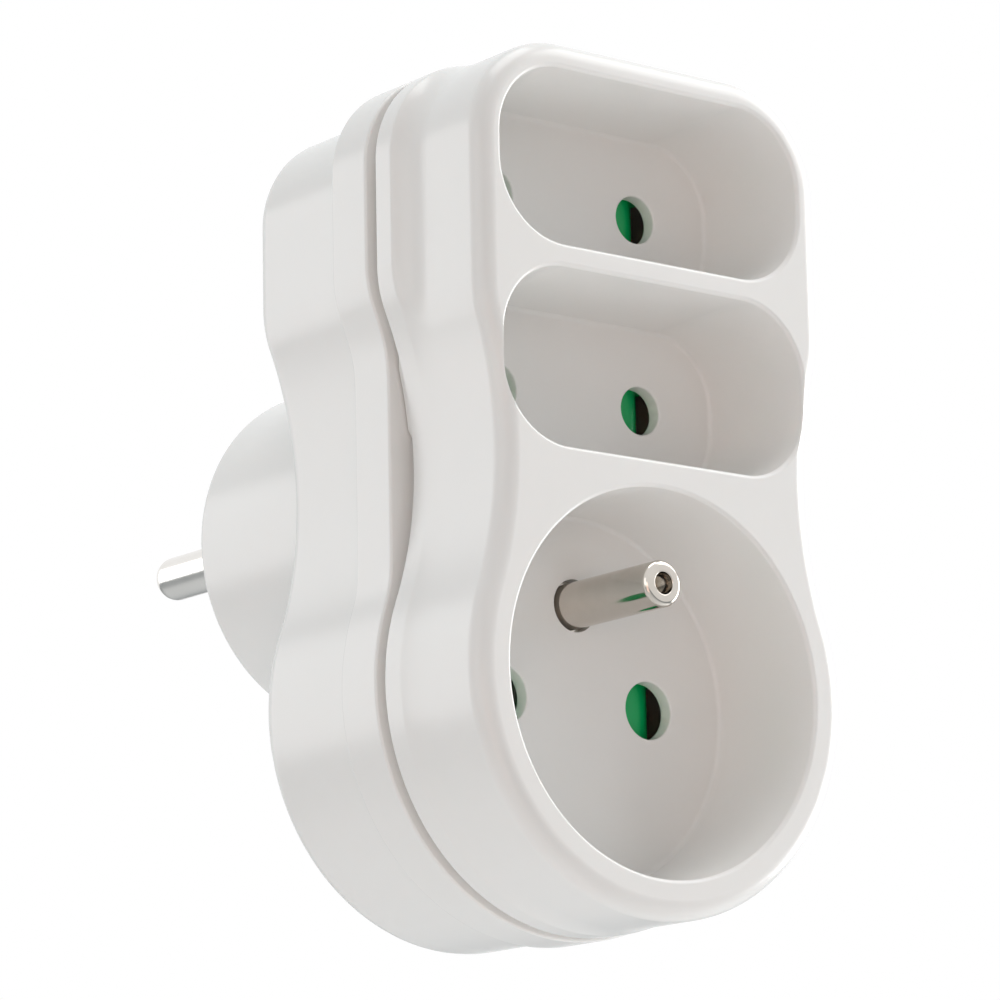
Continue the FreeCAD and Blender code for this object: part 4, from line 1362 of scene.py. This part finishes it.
@dataclass
class Shutters:
    """Green sliders behind the recess floors, with a rounded ramp under each entry hole."""

    heights: Heights = field(default_factory=Heights)
    depth: float = 5.0
    gap: float = 0.2
    cover: float = 0.35
    bar: float = 1.5
    pin: float = 2.4
    free: float = 0.1
    arm_place: float = 5.0
    arm: float = 1.6
    spring: float = 1.1
    ramp_depth: float = 4.2
    ramp_power: float = 2.6
    edge: float = 0.12

    @classmethod
    def travel(cls, socket: Socket) -> float:
        """How far a pin pushes the slider: from its covering edge until the pin passes."""
        return socket.hole + cls.cover + cls.pin + cls.free

    def block(
        self, across: tuple[float, float], upwards: tuple[float, float], low: float, high: float
    ) -> bpy.types.Object:
        """A block between its limits, with slightly rounded edges.

        Args:
            across: Left and right limits.
            upwards: Lower and upper limits.
            low: Height of its rear side.
            high: Height of its front side.

        Returns:
            The closed block.
        """
        half, middle_x = (across[1] - across[0]) / 2, sum(across) / 2
        rise, middle_z = (upwards[1] - upwards[0]) / 2, sum(upwards) / 2
        outline = RoundedBox(half, rise, 2 * self.edge, middle_z, middle_x, steps=3)
        return skin("block", prism_rings(outline, low, high, self.edge, self.edge))

    def ramp(self, socket: Socket, side: Side, top: float) -> bpy.types.Object:
        """Cutter for a ramp that leaves the slider's face flat and ends steeply.

        With u from 0 to 1 across the ramp, D its full depth and p the power, its depth is
        D (1 - (1 - u^p)^(1/p)).

        Args:
            socket: The socket that the slider closes.
            side: Pad under the left or the right hole.
            top: Height of the slider's face.

        Returns:
            The closed cutter.
        """
        start = side.value * POLE - socket.hole
        length = 2 * socket.hole + self.cover
        end = start + length + PAST
        share = np.sin(np.linspace(0, math.pi / 2, 17))
        fall = self.ramp_depth * (1 - (1 - share**self.ramp_power) ** (1 / self.ramp_power))
        x = np.concatenate([start + length * share, [end, end, start]])
        height = np.concatenate([top - fall, [top - self.ramp_depth, top + PAST, top + PAST]])
        rise = socket.hole + self.cover - self.gap
        rings = [
            np.stack([x, -height, np.full(len(x), socket.place.value + z)], axis=1)
            for z in (-rise, rise)
        ]
        return skin("ramp", np.stack(rings))

    def slider(self, socket: Socket) -> bpy.types.Object:
        """One slider: pads and bars, its spring's arm, the window and both ramps.

        Args:
            socket: The socket that it closes.

        Returns:
            The closed slider.
        """
        reach = socket.hole + self.cover
        outer = socket.hole + self.bar
        middle = socket.place.value
        top = socket.floor(self.heights) - FrontCover.floor_wall - self.gap
        low = top - self.depth
        right = POLE + reach
        pads = self.block((-right, right), (middle - reach, middle + reach), low, top)
        bars = self.block((-POLE, right), (middle - outer, middle + outer), low, top)
        arm_low = middle - outer - 2 * self.spring - self.gap
        arm_across = (self.arm_place, self.arm_place + self.arm)
        arm = self.block(arm_across, (arm_low, middle - outer + PAST), low, top)
        combine(pads, [bars, arm], Operation.JOIN)
        left = reach - POLE
        inside = reach - self.gap
        window_across = (left, left + self.travel(socket))
        window_upwards = (middle - inside, middle + inside)
        window = self.block(window_across, window_upwards, low - PAST, top + PAST)
        ramps = [self.ramp(socket, side, top) for side in Side]
        return combine(pads, [window, *ramps], Operation.CUT)

    def build(self, finishes: Finishes) -> list[bpy.types.Object]:
        """All three sliders, each riding on its own body.

        Args:
            finishes: Finishes of the adapter.

        Returns:
            The sliders.
        """
        made = []
        for socket in SOCKETS:
            word = socket.place.word
            slider = self.slider(socket)
            slider.name = slider.data.name = f"slider_{word}"
            smooth(slider)
            finishes.dress(slider, "shutter_green")
            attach(slider, f"shutter_{word}")
            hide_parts(f"shutter_{word}")
            made.append(slider)
        return made


@dataclass
class ShutterSprings:
    """Round-wire coil springs beside the shutters."""

    wire: float = 0.175
    coil: float = 0.925
    turns: int = 5
    length: float = 14.0
    steps_a_turn: int = 28
    sides: int = 10

    def centreline(self, start: np.ndarray) -> tuple[np.ndarray, np.ndarray]:
        """Helix along X: even advance, with the coil radius turned round the axis.

        Args:
            start: Left end of the axis.

        Returns:
            Points and unit tangents, each of shape (n, 3).
        """
        share = np.linspace(0, 1, self.steps_a_turn * self.turns)
        angle = 2 * math.pi * self.turns * share
        x = start[0] + self.wire + (self.length - 2 * self.wire) * share
        y, z = start[1] + self.coil * np.cos(angle), start[2] + self.coil * np.sin(angle)
        points = np.stack([x, y, z], axis=1)
        tangent = np.gradient(points, axis=0)
        return points, tangent / np.linalg.norm(tangent, axis=1, keepdims=True)

    def tube(self, name: str, start: np.ndarray) -> bpy.types.Object:
        """A round wire along the helix: at each point a circle square to the tangent.

        Args:
            name: Name of the piece.
            start: Left end of the axis.

        Returns:
            The closed spring.
        """
        points, tangent = self.centreline(start)
        across = np.cross(tangent, np.array([1.0, 0, 0]))
        across /= np.linalg.norm(across, axis=1, keepdims=True)
        other = np.cross(tangent, across)
        angle = np.linspace(0, 2 * math.pi, self.sides, endpoint=False)[None, :, None]
        section = np.cos(angle) * across[:, None] + np.sin(angle) * other[:, None]
        return skin(name, points[:, None] + self.wire * section)

    def build(self, finishes: Finishes) -> list[bpy.types.Object]:
        """One spring for each shutter, at its part's left end.

        Args:
            finishes: Finishes of the adapter.

        Returns:
            The springs.
        """
        made = []
        for socket in SOCKETS:
            word = socket.place.word
            node = f"shutter_spring_{word}"
            low, high = (np.array(corner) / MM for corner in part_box(node))
            start = np.array([low[0], (low[1] + high[1]) / 2, (low[2] + high[2]) / 2])
            piece = self.tube(f"coil_{word}", start)
            smooth(piece, limit=60, weighted=False)
            finishes.dress(piece, "spring_steel")
            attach(piece, "housing")
            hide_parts(node)
            keep = 1 - Shutters.travel(socket) / self.length
            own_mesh(piece)
            made.append(piece)
        return made


# The studio


@dataclass(frozen=True)
class Lamp:
    """A soft lamp: its direction from the adapter in degrees, its power in watts and its tint."""

    name: str
    azimuth: float
    elevation: float
    power: float
    color: Color = (1.0, 1.0, 1.0)


LAMPS = (
    Lamp("overhead", 0, 85, 2.0),
    Lamp("right", 80, 0, 3.5),
    Lamp("high_right", 60, 40, 2.0),
    Lamp("rear_left", -140, 10, 1.1),
    Lamp("front_left", -70, 5, 0.5),
    Lamp("by_the_camera", -38, -12, 0.7, (1.0, 0.68, 0.55)),
)


def direction(azimuth: float, elevation: float) -> Vector:
    """Unit vector away from the adapter: (sin a cos e, -cos a cos e, sin e).

    Args:
        azimuth: Angle a in degrees, 0 in front and growing to the right.
        elevation: Angle e above the level in degrees.

    Returns:
        The direction in the frame.
    """
    a, e = math.radians(azimuth), math.radians(elevation)
    return Vector((math.sin(a) * math.cos(e), -math.cos(a) * math.cos(e), math.sin(e)))


def put(name: str, data: bpy.types.ID, matrix: Matrix) -> bpy.types.Object:
    """A camera or lamp in the scene, at its place.

    Args:
        name: Name of the object.
        data: Its camera or lamp data.
        matrix: Its place and turn, in metres.

    Returns:
        The new object.
    """
    made = bpy.data.objects.new(name, data)
    bpy.context.scene.collection.objects.link(made)
    made.matrix_world = matrix
    return made


@dataclass
class Studio:
    """Camera, world, lamps and floor, with the camera in millimetres and the rest in metres."""

    target: tuple[float, float, float] = (-4.856, -35.0, -0.057)
    azimuth: float = -38.493
    elevation: float = -12.323
    roll: float = -1.181
    distance: float = 458.196
    lens: float = 160.225
    sensor: float = 36.0
    clip: tuple[float, float] = (0.01, 50.0)
    room: Color = (0.29, 0.315, 0.325)
    middle: tuple[float, float, float] = (0.0, -0.037, 0.0)
    lamp_size: float = 0.45
    lamp_distance: float = 0.7
    floor_height: float = -0.34
    floor_reach: float = 3.0
    floor_shade: float = 0.9

    def camera(self) -> None:
        """The camera, solved from the photograph: low on the left, looking up."""
        back = direction(self.azimuth, self.elevation)
        roll = math.radians(self.roll)
        level = (-back).cross(Vector((0, 0, 1))).normalized()
        upright = level.cross(-back)
        right = level * math.cos(roll) + upright * math.sin(roll)
        up = -level * math.sin(roll) + upright * math.cos(roll)
        data = bpy.data.cameras.new("camera")
        data.lens = self.lens
        data.sensor_width = self.sensor
        data.clip_start, data.clip_end = self.clip
        place = (Vector(self.target) + back * self.distance) * MM
        turn = Matrix((right, up, back)).transposed().to_4x4()
        bpy.context.scene.camera = put("camera", data, Matrix.Translation(place) @ turn)

    def world(self) -> None:
        """A faint even room light, with a backdrop that is plain white to the eye and in gloss."""
        world = bpy.data.worlds.new("studio")
        world.use_nodes = True
        bpy.context.scene.world = world
        nodes = Nodes(world.node_tree)
        background = world.node_tree.nodes["Background"]
        rays = nodes.add("ShaderNodeLightPath")
        seen = rays.outputs["Is Camera Ray"]
        for kind in ("Is Glossy Ray", "Is Transmission Ray"):
            either = nodes.add("ShaderNodeMath", operation="MAXIMUM")
            nodes.wire(seen, either.inputs[0])
            nodes.wire(rays.outputs[kind], either.inputs[1])
            seen = either.outputs["Value"]
        mix = nodes.add("ShaderNodeMix", data_type="RGBA")
        set_inputs(mix, {"A": (*self.room, 1), "B": (1, 1, 1, 1)})
        nodes.wire(seen, mix.inputs["Factor"])
        nodes.wire(mix.outputs["Result"], background.inputs["Color"])
        background.inputs["Strength"].default_value = 1.0

    def lamp(self, plan: Lamp) -> None:
        """A soft square lamp that points at the adapter's middle.

        Args:
            plan: Its direction, power and tint.
        """
        outwards = direction(plan.azimuth, plan.elevation)
        data = bpy.data.lights.new(plan.name, "AREA")
        data.shape = "SQUARE"
        data.size = self.lamp_size
        data.energy = plan.power
        data.color = plan.color
        place = Vector(self.middle) + outwards * self.lamp_distance
        turn = (-outwards).to_track_quat("-Z", "Y").to_matrix().to_4x4()
        put(plan.name, data, Matrix.Translation(place) @ turn).visible_camera = False

    def floor(self) -> None:
        """A pale level floor far below the adapter."""
        corners = np.array([[-1, -1], [1, -1], [1, 1], [-1, 1]]) * self.floor_reach
        points = np.column_stack([corners, np.full(4, self.floor_height)]) / MM
        made = new_mesh("floor", points, [(0, 1, 2, 3)])
        material, _, shader = start_material("floor_white")
        shade = self.floor_shade
        set_inputs(shader, {"Base Color": (shade, shade, shade, 1), "Roughness": shade})
        made.data.materials.append(material)

    def build(self) -> None:
        """Set up the whole studio."""
        self.camera()
        self.world()
        for plan in LAMPS:
            self.lamp(plan)
        self.floor()
        bpy.context.scene.view_settings.view_transform = "Standard"


def main() -> None:
    """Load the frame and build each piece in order."""
    logging.basicConfig(level=logging.INFO, format="%(name)s: %(message)s")
    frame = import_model()
    Studio().build()
    finishes = Finishes()
    finishes.dress_frame(frame)
    pieces = [FrontCover().build(finishes), RearShell().build(finishes)]
    pieces += Pins().build(finishes)
    pieces += Shutters().build(finishes)
    pieces += ShutterSprings().build(finishes)
    for piece in pieces:
        LOG.info("%s: %d faces", piece.name, len(piece.data.polygons))


if __name__ == "__main__":
    main()
